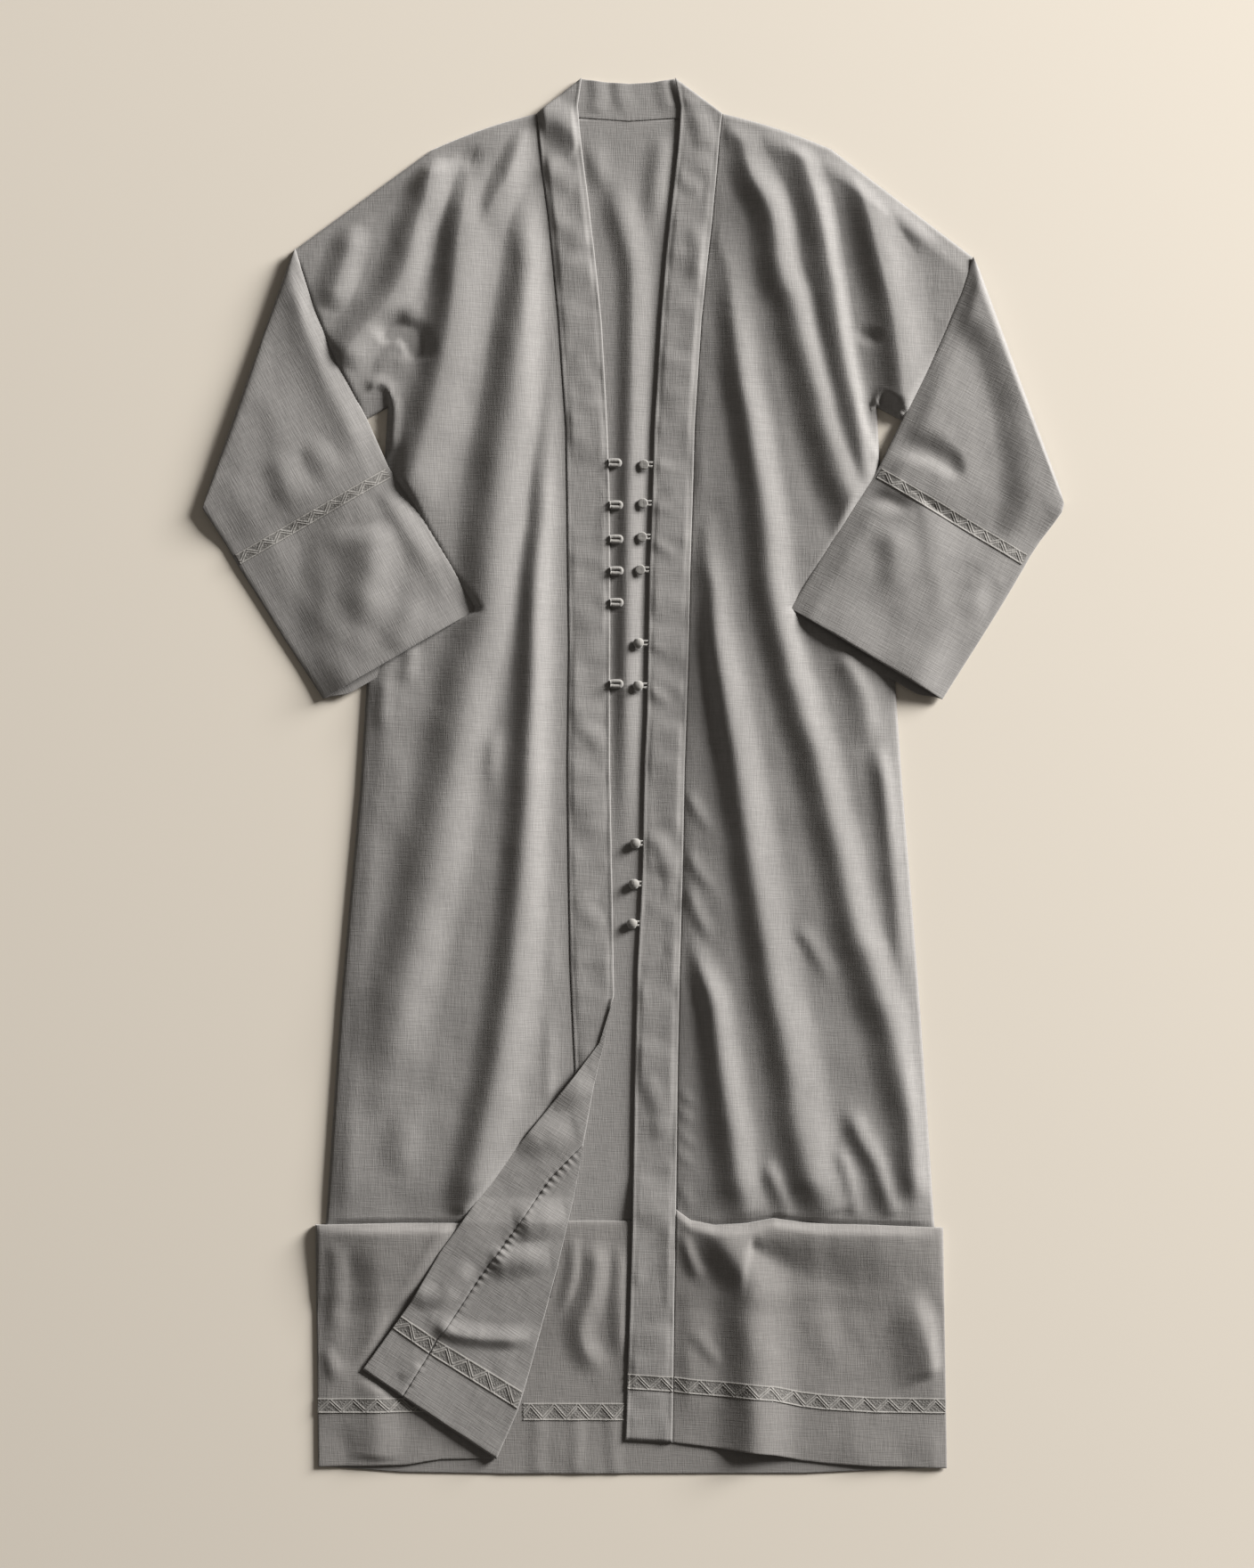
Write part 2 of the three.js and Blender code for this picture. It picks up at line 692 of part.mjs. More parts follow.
function tubeGeometry(outerRings, innerRings) {
  const size = outerRings[0].length;
  const positions = [...outerRings.flat(), ...innerRings.flat()];
  const innerStart = outerRings.length * size;
  const triangles = [];
  const quad = (a, b, c, d) => triangles.push([a, b, c], [a, c, d]);
  const loft = (start, rings, inward) => {
    for (let i = 0; i + 1 < rings; i += 1) {
      for (let j = 0; j < size; j += 1) {
        const next = (j + 1) % size;
        const corners = [
          start + i * size + j,
          start + i * size + next,
          start + (i + 1) * size + next,
          start + (i + 1) * size + j,
        ];
        quad(...(inward ? corners.reverse() : corners));
      }
    }
  };
  // A ring is its own cap: each upper point is joined to the lower point under it.
  const cap = (start, inward) => {
    for (let j = 0; j < size / 2; j += 1) {
      const a = start + j;
      const b = start + j + 1;
      const c = start + ((size - j - 1) % size);
      const d = start + ((size - j) % size);
      const faces = [[a, d, c], [a, c, b]].filter((face) => new Set(face).size === 3);
      for (const [p, q, r] of faces) triangles.push(inward ? [p, r, q] : [p, q, r]);
    }
  };
  loft(0, outerRings.length, false);
  loft(innerStart, innerRings.length, true);
  cap(0, false);
  cap(innerStart, true);
  const lastOuter = (outerRings.length - 1) * size;
  const lastInner = innerStart + (innerRings.length - 1) * size;
  for (let j = 0; j < size; j += 1) {
    const next = (j + 1) % size;
    quad(lastOuter + j, lastOuter + next, lastInner + next, lastInner + j);
  }
  return geometryOf(positions, triangles);
}

function forearm(side, stations) {
  const last = stations.length - 1;
  const stepAt = (i) => (i === last ? CUFF_STEP : 0);
  const outerRings = stations.map((row, i) => ring(row, i / last, 0, stepAt(i)));
  const first = {};
  for (const key of Object.keys(stations[0])) {
    first[key] = lerp(stations[0][key], stations[1][key], SEWN_END * last);
  }
  const innerStations = [first, ...stations.slice(1)];
  const innerRings = innerStations.map((row, i) => ring(row, i / last, CLOTH, stepAt(i)));
  add(`sleeve_${side}`, tubeGeometry(outerRings, innerRings));
  const rows = [SLEEVE_BORDER_STATION, SLEEVE_BORDER_STATION + 1].map((i) =>
    outerRings[i].slice(1, RING_COLUMNS + 2));
  const heights = new Map(rows.flat().map(([x, y, z]) => [`${x} ${y}`, z]));
  const planRows = rows.map((row) => row.map(([x, y]) => [x, y]));
  border(`border_sleeve_${side}`, planRows, (x, y) => heights.get(`${x} ${y}`));
}

// ---- Buttons and loops ----
const LOOP_ROWS = [316, 273.5, 239, 207, 175, 93];
const BUTTON_ROWS = table('x y', [
  [10.8, 314],
  [9.9, 275],
  [9, 241],
  [7.2, 208],
  [5.4, 134],
  [5, 91],
  [2.2, -68],
  [0.8, -109],
  [-1.2, -149],
]);
const BUTTON_LIFT = 0.5; // buttons and cords clear the highest cloth under them by this much

function clothTopNear(x, y, reach) {
  const around = [-reach, 0, reach];
  const tops = around.flatMap((dx) => around.map((dy) => backBase(x + dx, y + dy)));
  return Math.max(...tops) + CLOTH + BUTTON_LIFT;
}

// A cord bent into a U in the plan: two straight strands and a round end.
function cordLoop(name, startX, endX, y, z) {
  const radius = LOOP_CORD;
  const halfWidth = radius + 0.5;
  const forward = Math.sign(endX - startX);
  const bend = endX - forward * (halfWidth + radius);
  const points = [new THREE.Vector3(startX, y + halfWidth, z)];
  const turns = 4;
  for (let i = 0; i <= turns; i += 1) {
    const angle = (Math.PI * i) / turns;
    const x = bend + forward * halfWidth * Math.sin(angle);
    points.push(new THREE.Vector3(x, y + halfWidth * Math.cos(angle), z));
  }
  points.push(new THREE.Vector3(startX, y - halfWidth, z));
  const section = new THREE.Shape();
  const sides = 6;
  for (let i = 0; i < sides; i += 1) {
    const angle = (2 * Math.PI * i) / sides;
    const [u, v] = [radius * Math.cos(angle), radius * Math.sin(angle)];
    if (i === 0) section.moveTo(u, v);
    else section.lineTo(u, v);
  }
  section.closePath();
  const extrudePath = new THREE.CatmullRomCurve3(points, false, 'centripetal');
  const geometry = new THREE.ExtrudeGeometry(section, { extrudePath, steps: 10, curveSegments: 1 });
  add(name, geometry);
}

function buttonGeometry() {
  const flat = BUTTON_HEIGHT * 0.15;
  const profile = [
    [0, 0],
    [BUTTON_RADIUS * 0.7, 0],
    [BUTTON_RADIUS, flat * 2.4],
    [BUTTON_RADIUS * 0.82, BUTTON_HEIGHT * 0.78],
    [BUTTON_RADIUS * 0.4, BUTTON_HEIGHT],
    [0, BUTTON_HEIGHT],
  ];
  const points = profile.map(([r, h]) => new THREE.Vector2(r, h));
  return new THREE.LatheGeometry(points, 10).rotateX(Math.PI / 2);
}

function fastenings() {
  LOOP_ROWS.forEach((y, i) => {
    const start = lookUp(FREE_EDGE, 'y', 'left', y) + GAP;
    const end = start + LOOP_LENGTH;
    const z = clothTopNear((start + end) / 2, y, 6) + LOOP_CORD;
    cordLoop(`loop_${i + 1}`, start, end, y, z);
  });
  BUTTON_ROWS.forEach(({ x, y }, i) => {
    const z = clothTopNear(x, y, BUTTON_RADIUS);
    const button = add(`button_${i + 1}`, buttonGeometry());
    button.position.set(x, y, z);
    const from = x + BUTTON_RADIUS + GAP;
    const to = lookUp(FREE_EDGE, 'y', 'right', y) - 2 * GAP;
    const shank = add(`shank_${i + 1}`, new THREE.BoxGeometry(to - from, SHANK_WIDTH, SHANK_HEIGHT));
    shank.position.set((from + to) / 2, y, z + SHANK_HEIGHT / 2);
  });
}

// ---- The whole garment ----
backPanel();
backBand();
frontPanel('left');
frontPanel('right');
leftBand();
rightBand();
backHem();
frontHem('left', LEFT_LINES, (y) => lookUp(TURN, 'y', 'x', y));
frontHem('right', RIGHT_LINES, (y) => lookUp(BAND_SEAM, 'y', 'right', y) + GAP);
turnedCorner();
forearm('left', LEFT_FOREARM);
forearm('right', RIGHT_FOREARM);
fastenings();

export default abaya;
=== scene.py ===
"""An open-front linen abaya laid flat. Tables and heights are in millimetres, in the CAD's frame."""

import math

import bpy
import numpy as np
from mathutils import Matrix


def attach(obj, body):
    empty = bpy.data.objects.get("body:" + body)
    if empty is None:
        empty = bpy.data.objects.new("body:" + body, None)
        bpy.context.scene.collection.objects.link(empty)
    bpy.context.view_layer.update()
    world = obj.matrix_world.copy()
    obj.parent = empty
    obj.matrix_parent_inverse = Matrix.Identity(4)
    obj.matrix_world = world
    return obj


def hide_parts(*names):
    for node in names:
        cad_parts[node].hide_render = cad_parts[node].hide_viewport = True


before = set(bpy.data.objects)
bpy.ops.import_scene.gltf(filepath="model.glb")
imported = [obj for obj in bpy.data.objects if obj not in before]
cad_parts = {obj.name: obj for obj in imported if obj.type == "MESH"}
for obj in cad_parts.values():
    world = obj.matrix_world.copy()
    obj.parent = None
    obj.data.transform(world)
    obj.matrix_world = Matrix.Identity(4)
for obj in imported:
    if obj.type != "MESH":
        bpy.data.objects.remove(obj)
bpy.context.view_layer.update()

MM = 0.001
CLOTH = 1.2
BAND = 1.8
GAP = 0.3
HALF_SPAN = 434.7
TUCK_TOP = -451.0
TUCK_BOTTOM = -519.0
TUCK_FALL = 24.0
SLEEVE_THICK = 3.8
CUFF_STEP = 8.5
CHEST_Y = 352.0
SHOULDER_Y = 669.0
SHOULDER_BULGE = 3.0
BACK_NECK_Y = 663.7  # where the back panel meets the neck band
NECK_DIP = 3.3  # how much lower its neck edge is at the centre
SIDES = ("left", "right")
COLUMN = {"left": 1, "right": 2}  # of the tables that start with y
SIGN = {"left": -1, "right": 1}  # outwards, along x


# ---- Tables that repeat the CAD's ----
FREE_EDGE = np.array([  # y, left, right
    (704.7, -52, 42), (676, -56, 47.7), (654, -54, 46.5), (634, -52, 45), (587, -46, 39.6),
    (528, -39, 33), (460, -32, 27.5), (352, -26, 21), (282, -23.8, 19), (205, -23.2, 16),
    (64, -23.4, 13.5), (10, -23.4, 11), (-94, -21.6, 9), (-135, -20.7, 7), (-197, -19.8, 3.6),
    (-222, -19.4, 3.3), (-314, -41, 1), (-451, -66, -1), (-671, -129, -8)])
BAND_SEAM = np.array([  # y, left, right
    (669, -97, 90), (644, -95, 87), (612, -92, 84.5), (564, -85.5, 80), (519, -81, 75),
    (461, -75.6, 69), (352, -68, 62), (278, -66.8, 60), (205, -66, 57.6), (131, -65, 56),
    (10, -66.6, 52), (-94, -65.5, 50), (-197, -63.5, 47), (-293, -59, 45), (-410, -59, 43.5),
    (-451, -66, 43), (-519, -83, 41.5), (-673, -132, 39.6)])
SIDE = np.array([  # y, left, right
    (372, -248, 246), (300, -252, 250), (200, -260, 257), (97, -269, 264.5), (-13, -276, 272),
    (-122, -286, 281), (-224, -295, 289), (-340, -303, 297), (-451, -310.5, 304),
    (-519, -315, 309)])
HEM_SIDE = np.array([(-453, -321, 313), (-600, -319, 315.5), (-700, -318, 317)])
TURN = np.array([  # y, x of the turned corner's crease
    (-222, -19.4), (-274.5, -31), (-319.5, -41), (-385, -53), (-434, -62), (-485, -74),
    (-534, -86), (-571.5, -96), (-630, -113), (-668, -127), (-689, -138)])
RIGHT_LINES = np.array([  # x, tuck edge, border's upper edge, hem
    (40, -435, -606, -673), (58, -448, -608, -675), (82, -453, -610, -678),
    (116, -451, -612, -682), (142, -446, -614.5, -685), (170, -450, -621, -691),
    (195, -452, -624, -694), (243, -453, -627, -697), (317, -456, -628, -699)])
LEFT_LINES = np.array([
    (-321, -453, -628, -697.5), (-230, -451, -627, -695.5), (-195, -451, -627, -690),
    (-138, -451, -626, -689), (-60, -451, -625, -689)])
BACK_LINES = np.array([
    (-318, -449, -633, -697), (-233, -449, -633, -703), (-136, -449, -633, -704.7),
    (171, -448, -633, -704.2), (220, -448, -633, -702), (317, -448, -633, -698)])
ARM = {
    "left": {"top": (-204, 632), "bottom": (-248, 372)},
    "right": {"top": (200, 633), "bottom": (246, 372)},
}
FOREARM = {  # inner x, inner y, outer x, outer y, from the elbow fold to the cuff
    "left": np.array([
        (-341, 532, -HALF_SPAN, 269), (-322, 473, -428, 259), (-297, 414, -419, 245),
        (-268, 359, -410, 231), (-247, 312, -405, 222), (-241, 302, -399, 211.5),
        (-222, 277, -380, 182), (-196, 233, -355, 142), (-157.5, 168, -313, 77.5)]),
    "right": np.array([
        (343, 524, HALF_SPAN, 274.5), (331, 487, 432.5, 266), (309, 435, 424, 254),
        (277, 371, 411, 237), (248, 312, 401, 222), (242, 302, 395, 211),
        (222, 272, 375, 177), (198, 233, 352, 140), (158, 169, 312, 77)]),
}
CORNER = np.array([  # free edge, puckered seam, crease
    (-34, -269, -30, -272, -30, -272), (-58, -301, -40, -314, -40, -314),
    (-93, -344, -50, -371, -50, -371), (-121, -378, -83, -405, -59, -421),
    (-162, -434, -122, -461, -76, -494), (-196, -481.5, -157, -509, -92, -554),
    (-224, -530, -188, -556, -107.5, -611), (-234, -544, -198, -568, -110.5, -621),
    (-243, -557, -206, -583, -116, -639), (-273, -598.5, -233, -626, -138, -689)])
CORNER_TIP = (-19.4, -222)
CORNER_SEAM_ROW = 2
CORNER_SEAM = CORNER[CORNER_SEAM_ROW:, 2:4]
CORNER_RUN = [59, 40, 55, 42, 70, 61, 54, 17, 17, 48]  # lengths from the tip down its rows
CORNER_REST = np.array([
    (-222, 4), (-330, 4.8), (-425, 5.2), (-450, 8), (-480, 7.6), (-500, 6.8), (-519, 6.3),
    (-540, 5.6), (-570, 5), (-600, 5), (-640, 5.8), (-690, 6.4)])
BAND_REST = np.array([
    (705, 3), (660, 2.2), (600, 1.5), (-400, 1.5), (-440, 5.1), (-525, 5.1), (-610, 1.5),
    (-700, 1.5)])


# ---- Folds: crest points, height, reach to the left and right, shape, fades at the ends ----
# A reach of two numbers changes from the first point to the last. A shape below 1 has a sharper
# crest. A height below 0 is a trough.
LEFT_FOLDS = [
    ([(-165, 606), (-169, 590), (-173, 560), (-176, 540), (-179, 505), (-182, 480), (-185, 455),
      (-190, 428), (-196, 400), (-205, 362), (-217, 322), (-223, 300), (-234, 264)],
     11, (26, 34), (44, 54), 0.72, 60, 50),
    ([(-101, 585), (-102, 555), (-101, 520), (-104, 500), (-108, 480), (-115, 440), (-120, 400),
      (-125, 360), (-132, 320), (-137, 280), (-141, 240), (-144, 205), (-146, 170), (-156, 128),
      (-164, 100), (-170, 70), (-177, 40), (-184, 0), (-191, -40), (-200, -80), (-207, -120),
      (-218, -160), (-228, -200), (-240, -260), (-248, -310)], 10, (28, 48), (36, 42), 0.85, 70, 120),
    ([(-74, 440), (-76, 410), (-80, 370), (-83, 335), (-87, 300), (-89, 260), (-93, 232), (-97, 195),
      (-99, 150), (-101, 90), (-104, 40), (-107, -20), (-110, -70), (-114, -115), (-118, -160),
      (-122, -200), (-128, -240), (-134, -280), (-142, -320), (-151, -360), (-159, -400),
      (-168, -445)], 9.8, (16, 32), (16, 42), 0.78, 300, 10),
    ([(-103, 664), (-110, 645), (-119, 620), (-129, 600), (-141, 580), (-150, 560), (-158, 540)],
     6, (10, 26), (26, 34), 0.8, 20, 44),
    ([(-182, 626), (-167, 622), (-152, 616)], -2.2, 18, 22, 0.9, 14, 16),
    ([(-201, 626), (-206, 600), (-210, 580), (-217, 560), (-222, 540), (-227, 520), (-236, 498),
      (-250, 475), (-268, 455), (-284, 436), (-296, 414)], 9.4, (24, 34), (36, 30), 0.75, 20, 20),
    ([(-276, 556), (-288, 528), (-297, 500), (-307, 470)], 5.4, 26, 24, 0.85, 26, 20),
    ([(-262, 464), (-240, 468), (-216, 458)], 2.5, 20, 24, 1.0, 14, 14),
    ([(-272, 454), (-254, 470), (-236, 473), (-222, 462)], 3.6, 20, 40, 0.9, 16, 16),
    ([(-256, 438), (-247, 446), (-236, 448), (-226, 441), (-220, 429), (-219, 416)], -6, 14, 28,
     0.9, 14, 16),
    ([(-224, 132), (-226, 112), (-232, 92)], 1.8, 12, 14, 1.0, 10, 16),
    ([(-252, 100), (-256, 70), (-258, 46)], 1.4, 14, 16, 1.0, 14, 16),
    ([(-142, 50), (-144, 20), (-148, -10)], 2, 16, 16, 1.0, 20, 30),
    ([(-74, 30), (-75, -20), (-74, -90)], 1.5, 9, 8, 0.9, 24, 24),
    ([(-82, -90), (-80, -140), (-82, -210)], 1.5, 10, 10, 0.9, 24, 24),
    ([(-85, -235), (-85, -290), (-86, -335)], 1.6, 8, 12, 0.8, 20, 20),
    ([(-246, -190), (-250, -230), (-254, -275)], 2.6, 20, 22, 1.0, 30, 30),
    ([(-226, -330), (-232, -370), (-238, -405)], 2.6, 26, 26, 1.0, 36, 30),
]
RIGHT_FOLDS = [
    ([(97, 662), (103, 650), (111, 635), (115, 618), (122, 600), (134, 580), (141, 560), (144, 540),
      (146, 520), (151, 500), (160, 480), (165, 460), (170, 440), (181, 400), (187, 380), (191, 360),
      (197, 340), (204, 320), (211, 300), (219, 282), (230, 258), (240, 236)],
     9.2, (18, 38), (24, 34), 0.78, 110, 8),
    ([(140, 651), (157, 637), (170, 622), (178, 600), (184, 580), (189, 560), (193, 540), (196, 520),
      (200, 500), (203, 480), (209, 440), (217, 400), (222, 380), (227, 360), (233, 342), (242, 320),
      (252, 296)], 10, (26, 38), (22, 16), 0.75, 130, 4),
    ([(206, 626), (214, 616), (224, 600), (232, 580), (238, 560), (243, 540), (248, 520), (253, 500),
      (258, 480), (262, 460), (265, 440), (268, 420), (270, 400), (271, 380), (271, 366)],
     10.6, (26, 34), (40, 44), 0.68, 100, 6),
    ([(238, 602), (262, 581), (286, 556), (306, 536)], 4.4, 26, 14, 0.85, 16, 30),
    ([(88, 540), (94, 520), (97, 500), (99, 480), (104, 440), (109, 400), (117, 360), (123, 320),
      (130, 280), (135, 240), (138, 200), (145, 160), (155, 120), (159, 100), (166, 80), (171, 60),
      (178, 40), (185, 20), (189, 0), (198, -40), (208, -80), (216, -120), (226, -160), (235, -180),
      (241, -200), (248, -222), (256, -242), (265, -280), (275, -320), (285, -358), (290, -400),
      (294, -430)], 9.6, (18, 36), (28, 30), 0.78, 230, 30),
    ([(74, 250), (76, 215), (80, 190), (83, 140), (89, 100), (96, 60), (103, 20),
      (109, -20), (115, -60), (121, -100), (128, -140), (135, -180), (141, -220), (151, -260),
      (158, -300), (163, -340), (172, -380), (178, -400), (186, -420), (196, -447)],
     9.8, (12, 34), (20, 44), 0.76, 170, 10),
    ([(60, -170), (70, -200), (80, -230), (87, -280), (93, -320), (100, -360), (105, -400),
      (109, -420), (116, -447)], 8.4, (12, 32), (20, 34), 0.75, 60, 10),
    ([(206, 128), (214, 116), (224, 98), (232, 78), (236, 52), (236, 28)], 4, (14, 34), 18, 0.85, 20, 30),
    ([(240, 34), (248, 16), (254, -2), (258, -24), (262, -52), (267, -86), (272, -126), (278, -170),
      (282, -200)], 5, (16, 26), 14, 0.85, 50, 40),
    ([(160, -152), (174, -164), (188, -186), (198, -210)], 2, 12, 18, 0.85, 16, 30),
    ([(133, -385), (141, -405), (148, -422), (158, -446)], 4, 18, 14, 0.85, 20, 8),
    ([(205, -372), (214, -400), (219, -420), (226, -446)], 3.6, 14, 14, 0.85, 20, 8),
    ([(217, -334), (227, -360), (238, -380), (248, -400), (262, -446)], 4.4, 16, 18, 0.85, 24, 8),
    ([(224, 444), (236, 444), (250, 438)], -2.6, 12, 14, 0.85, 8, 10),
    ([(50, -16), (62, -32), (78, -58)], 1.6, 9, 12, 0.9, 10, 22),
    ([(52, -76), (64, -94), (80, -118)], 1.4, 9, 12, 0.9, 10, 22),
    ([(52, -112), (62, -134), (78, -168)], 2, 10, 13, 0.9, 12, 24),
    ([(46, -316), (60, -332)], 1.2, 6, 8, 0.9, 5, 8),
    ([(46, -336), (58, -350)], 1.1, 6, 8, 0.9, 5, 8),
    ([(46, -358), (60, -374)], 1.2, 6, 8, 0.9, 5, 8),
    ([(46, -380), (58, -394)], 1.1, 6, 8, 0.9, 5, 8),
    ([(45, -412), (60, -440)], 1.6, 8, 10, 0.9, 6, 10),
]
LEFT_RIM_FOLDS = [
    ([(-268, 388), (-258, 395), (-249, 391), (-243, 379), (-241, 364), (-242, 344), (-243, 322)],
     5.5, 7, 22, 0.8, 8, 20),
    ([(-262, 404), (-250, 416), (-238, 420), (-228, 410)], 3, 18, 16, 0.95, 14, 14),
]
RIGHT_RIM_FOLDS = [
    ([(246, 368), (246, 380), (253, 389), (262, 385), (268, 372), (270, 362)], 5, 6, 9, 0.8, 4, 4),
    ([(216, 402), (222, 382), (228, 362), (236, 342), (245, 318)], 5, (14, 20), 8, 0.8, 26, 6),
    ([(262, 456), (266, 426), (269, 400), (271, 380)], 7.5, 30, 14, 0.8, 30, 3),
]
BACK_FOLDS = [
    ([(-22, 610), (-17, 580), (-13.5, 564), (-3, 522), (-1, 490), (-2, 400), (-5, 250), (-7, 100),
      (-9, -60)], 4.8, (20, 15), (30, 18), 0.9, 50, 200),
    ([(-44, 640), (-36, 612), (-24, 586)], 2.8, 14, 18, 1.0, 24, 24),
    ([(30, 650), (24, 600), (20, 560)], 3, 16, 14, 1.0, 24, 30),
]
HEM_RIGHT_FOLDS = [
    ([(70, -448), (90, -470), (105, -490), (116, -508), (119, -523), (117, -540), (117, -555),
      (119, -570), (121, -590), (122, -620), (123, -702)], 9, (28, 46), (40, 50), 0.88, 40, 1),
    ([(46, -462), (54, -480), (64, -498), (70, -508)], 3, 14, 14, 0.9, 10, 16),
    ([(278, -520), (285, -540), (292, -562), (300, -588), (307, -606)], 6.4, (34, 44), 22, 0.9, 30, 10),
    ([(60, -560), (78, -582), (92, -596)], 1.4, 12, 14, 0.9, 10, 14),
    ([(176, -530), (190, -560), (214, -590)], 1.4, 26, 26, 1.0, 24, 30),
]
HEM_LEFT_FOLDS = [
    ([(-172, -456), (-178, -480), (-190, -516)], 5, (26, 40), 22, 0.9, 6, 30),
    ([(-316, -580), (-306, -594), (-294, -610)], 2, 14, 16, 1.0, 6, 16),
    ([(-262, -470), (-256, -550), (-262, -690)], 3, (26, 34), 36, 0.9, 30, 4),
    ([(-300, -470), (-298, -520), (-304, -560)], 1.6, 14, 16, 1.0, 14, 20),
]
HEM_BACK_FOLDS = [
    ([(-40, -470), (-38, -500), (-43, -528), (-52, -552), (-50, -576), (-34, -600)], 3.8, (18, 24),
     (22, 20), 0.8, 20, 24),
    ([(-64, -462), (-62, -500), (-74, -540)], 2, 12, 12, 1.0, 14, 24),
    ([(-12, -470), (-14, -530), (-10, -590)], 2, 16, 12, 1.0, 30, 30),
    ([(-96, -640), (-98, -704)], 0.8, 12, 14, 1.0, 12, 4),
    ([(-56, -636), (-58, -704)], 0.7, 12, 12, 1.0, 12, 4),
    ([(-24, -640), (-20, -704)], 0.6, 10, 12, 1.0, 12, 4),
]
ARM_LEFT_FOLDS = [
    ([(-336, 500), (-327, 470), (-315, 440), (-303, 411), (-289, 383), (-275, 354), (-263, 328)], 3.6,
     (20, 52), (14, 18), 0.9, 24, 30),
    ([(-362, 326), (-352, 300), (-338, 270)], 2.6, 24, 34, 0.9, 18, 26),
    ([(-326, 338), (-314, 318), (-300, 300)], 2.2, (18, 26), 26, 0.9, 14, 20),
    ([(-268, 254), (-264, 220), (-268, 184), (-276, 150)], 6.4, (62, 32), (40, 36), 0.9, 20, 36),
    ([(-244, 296), (-227, 266), (-211, 238), (-195, 210)], 3.4, (28, 34), (8, 9), 0.9, 18, 24),
    ([(-338, 128), (-334, 120), (-330, 110)], 1.6, 8, 9, 1.0, 6, 6),
    ([(-226, 180), (-230, 152), (-244, 124)], 2.4, 26, 24, 0.9, 24, 20),
]
ARM_RIGHT_FOLDS = [
    ([(302, 446), (322, 442), (338, 430), (350, 408), (360, 370), (366, 330), (368, 290), (362, 250),
      (352, 214)], -4.4, (30, 78), (30, 34), 0.9, 10, 40),
    ([(380, 320), (384, 294), (382, 262), (378, 236)], -1.2, 7, 14, 0.75, 20, 16),
    ([(254, 333), (276, 331), (300, 325), (320, 313), (336, 298)], -5.6, 18, 26, 0.8, 8, 26),
    ([(226, 282), (246, 281), (264, 276), (280, 268)], -3.8, 16, 14, 0.8, 8, 22),
    ([(258, 254), (263, 220), (262, 184)], 3.2, 24, 30, 0.9, 20, 26),
    ([(346, 188), (351, 158), (349, 124)], 5, 32, 18, 0.85, 20, 16),
    ([(366, 200), (376, 188), (382, 176)], 1.6, 8, 8, 1.0, 6, 6),
]
CORNER_FOLDS = [
    ([(-104, -566), (-130, -568), (-160, -566), (-184, -561), (-200, -552)], 4.2, 18, 13, 0.85, 24, 14),
    ([(-40, -306), (-58, -316), (-84, -326)], 3, 26, 22, 1.0, 22, 26),
    ([(-60, -358), (-88, -364), (-120, -372)], 3.6, 28, 24, 1.0, 26, 26),
    ([(-68, -442), (-96, -448), (-120, -454)], 4.8, 28, 24, 1.0, 26, 16),
    ([(-84, -484), (-116, -488), (-146, -492)], 4.6, 20, 22, 1.0, 28, 14),
    ([(-160, -494), (-180, -510), (-196, -524)], 3, 18, 16, 1.0, 18, 12),
    ([(-176, -518), (-206, -524), (-228, -522)], 2.8, 16, 18, 1.0, 16, 18),
    ([(-214, -592), (-226, -600), (-238, -606)], 1.4, 8, 10, 1.0, 8, 10),
]


# ---- Plain functions on arrays ----
def smooth(start, end, value):
    t = np.clip((value - start) / (end - start), 0, 1)
    return t * t * (3 - 2 * t)


def lerp(a, b, t):
    return a + (b - a) * t


def look_up(table, column, value):
    """Column of a table where its first column has the given value."""
    order = np.argsort(table[:, 0])
    return np.interp(value, table[order, 0], table[order, column])


def spline(points, parts=5):
    """A smooth line through the points."""
    p = np.array(points, float)
    if len(p) < 3:
        return np.array([lerp(p[0], p[-1], t) for t in np.linspace(0, 1, parts)])
    q = np.vstack([2 * p[0] - p[1], p, 2 * p[-1] - p[-2]])
    out = []
    for i in range(1, len(q) - 2):
        for t in np.arange(parts) / parts:
            a, b, c, d = q[i - 1:i + 3]
            out.append(0.5 * (2 * b + (c - a) * t + (2 * a - 5 * b + 4 * c - d) * t**2
                              + (3 * b - a - 3 * c + d) * t**3))
    out.append(p[-1])
    return np.array(out)


def nearest(line, x, y):
    """Distance from a line, its side (above 0 to the right of a line that runs down), the length along it
    and its whole length."""
    best = np.full(x.shape, 1e9)
    side = np.zeros(x.shape)
    run = np.zeros(x.shape)
    start = 0.0
    for a, b in zip(line[:-1], line[1:]):
        d = b - a
        size = np.hypot(*d)
        t = np.clip(((x - a[0]) * d[0] + (y - a[1]) * d[1]) / size**2, 0, 1)
        away = np.hypot(x - a[0] - t * d[0], y - a[1] - t * d[1])
        closer = away < best
        best = np.where(closer, away, best)
        cross = d[0] * (y - a[1]) - d[1] * (x - a[0])
        side = np.where(closer, np.sign(cross), side)
        run = np.where(closer, start + t * size, run)
        start += size
    return best, side, run, start


def along_fold(reach, share):
    """A reach that may change from a fold's start to its end."""
    return lerp(reach[0], reach[1], np.sqrt(share)) if isinstance(reach, tuple) else reach


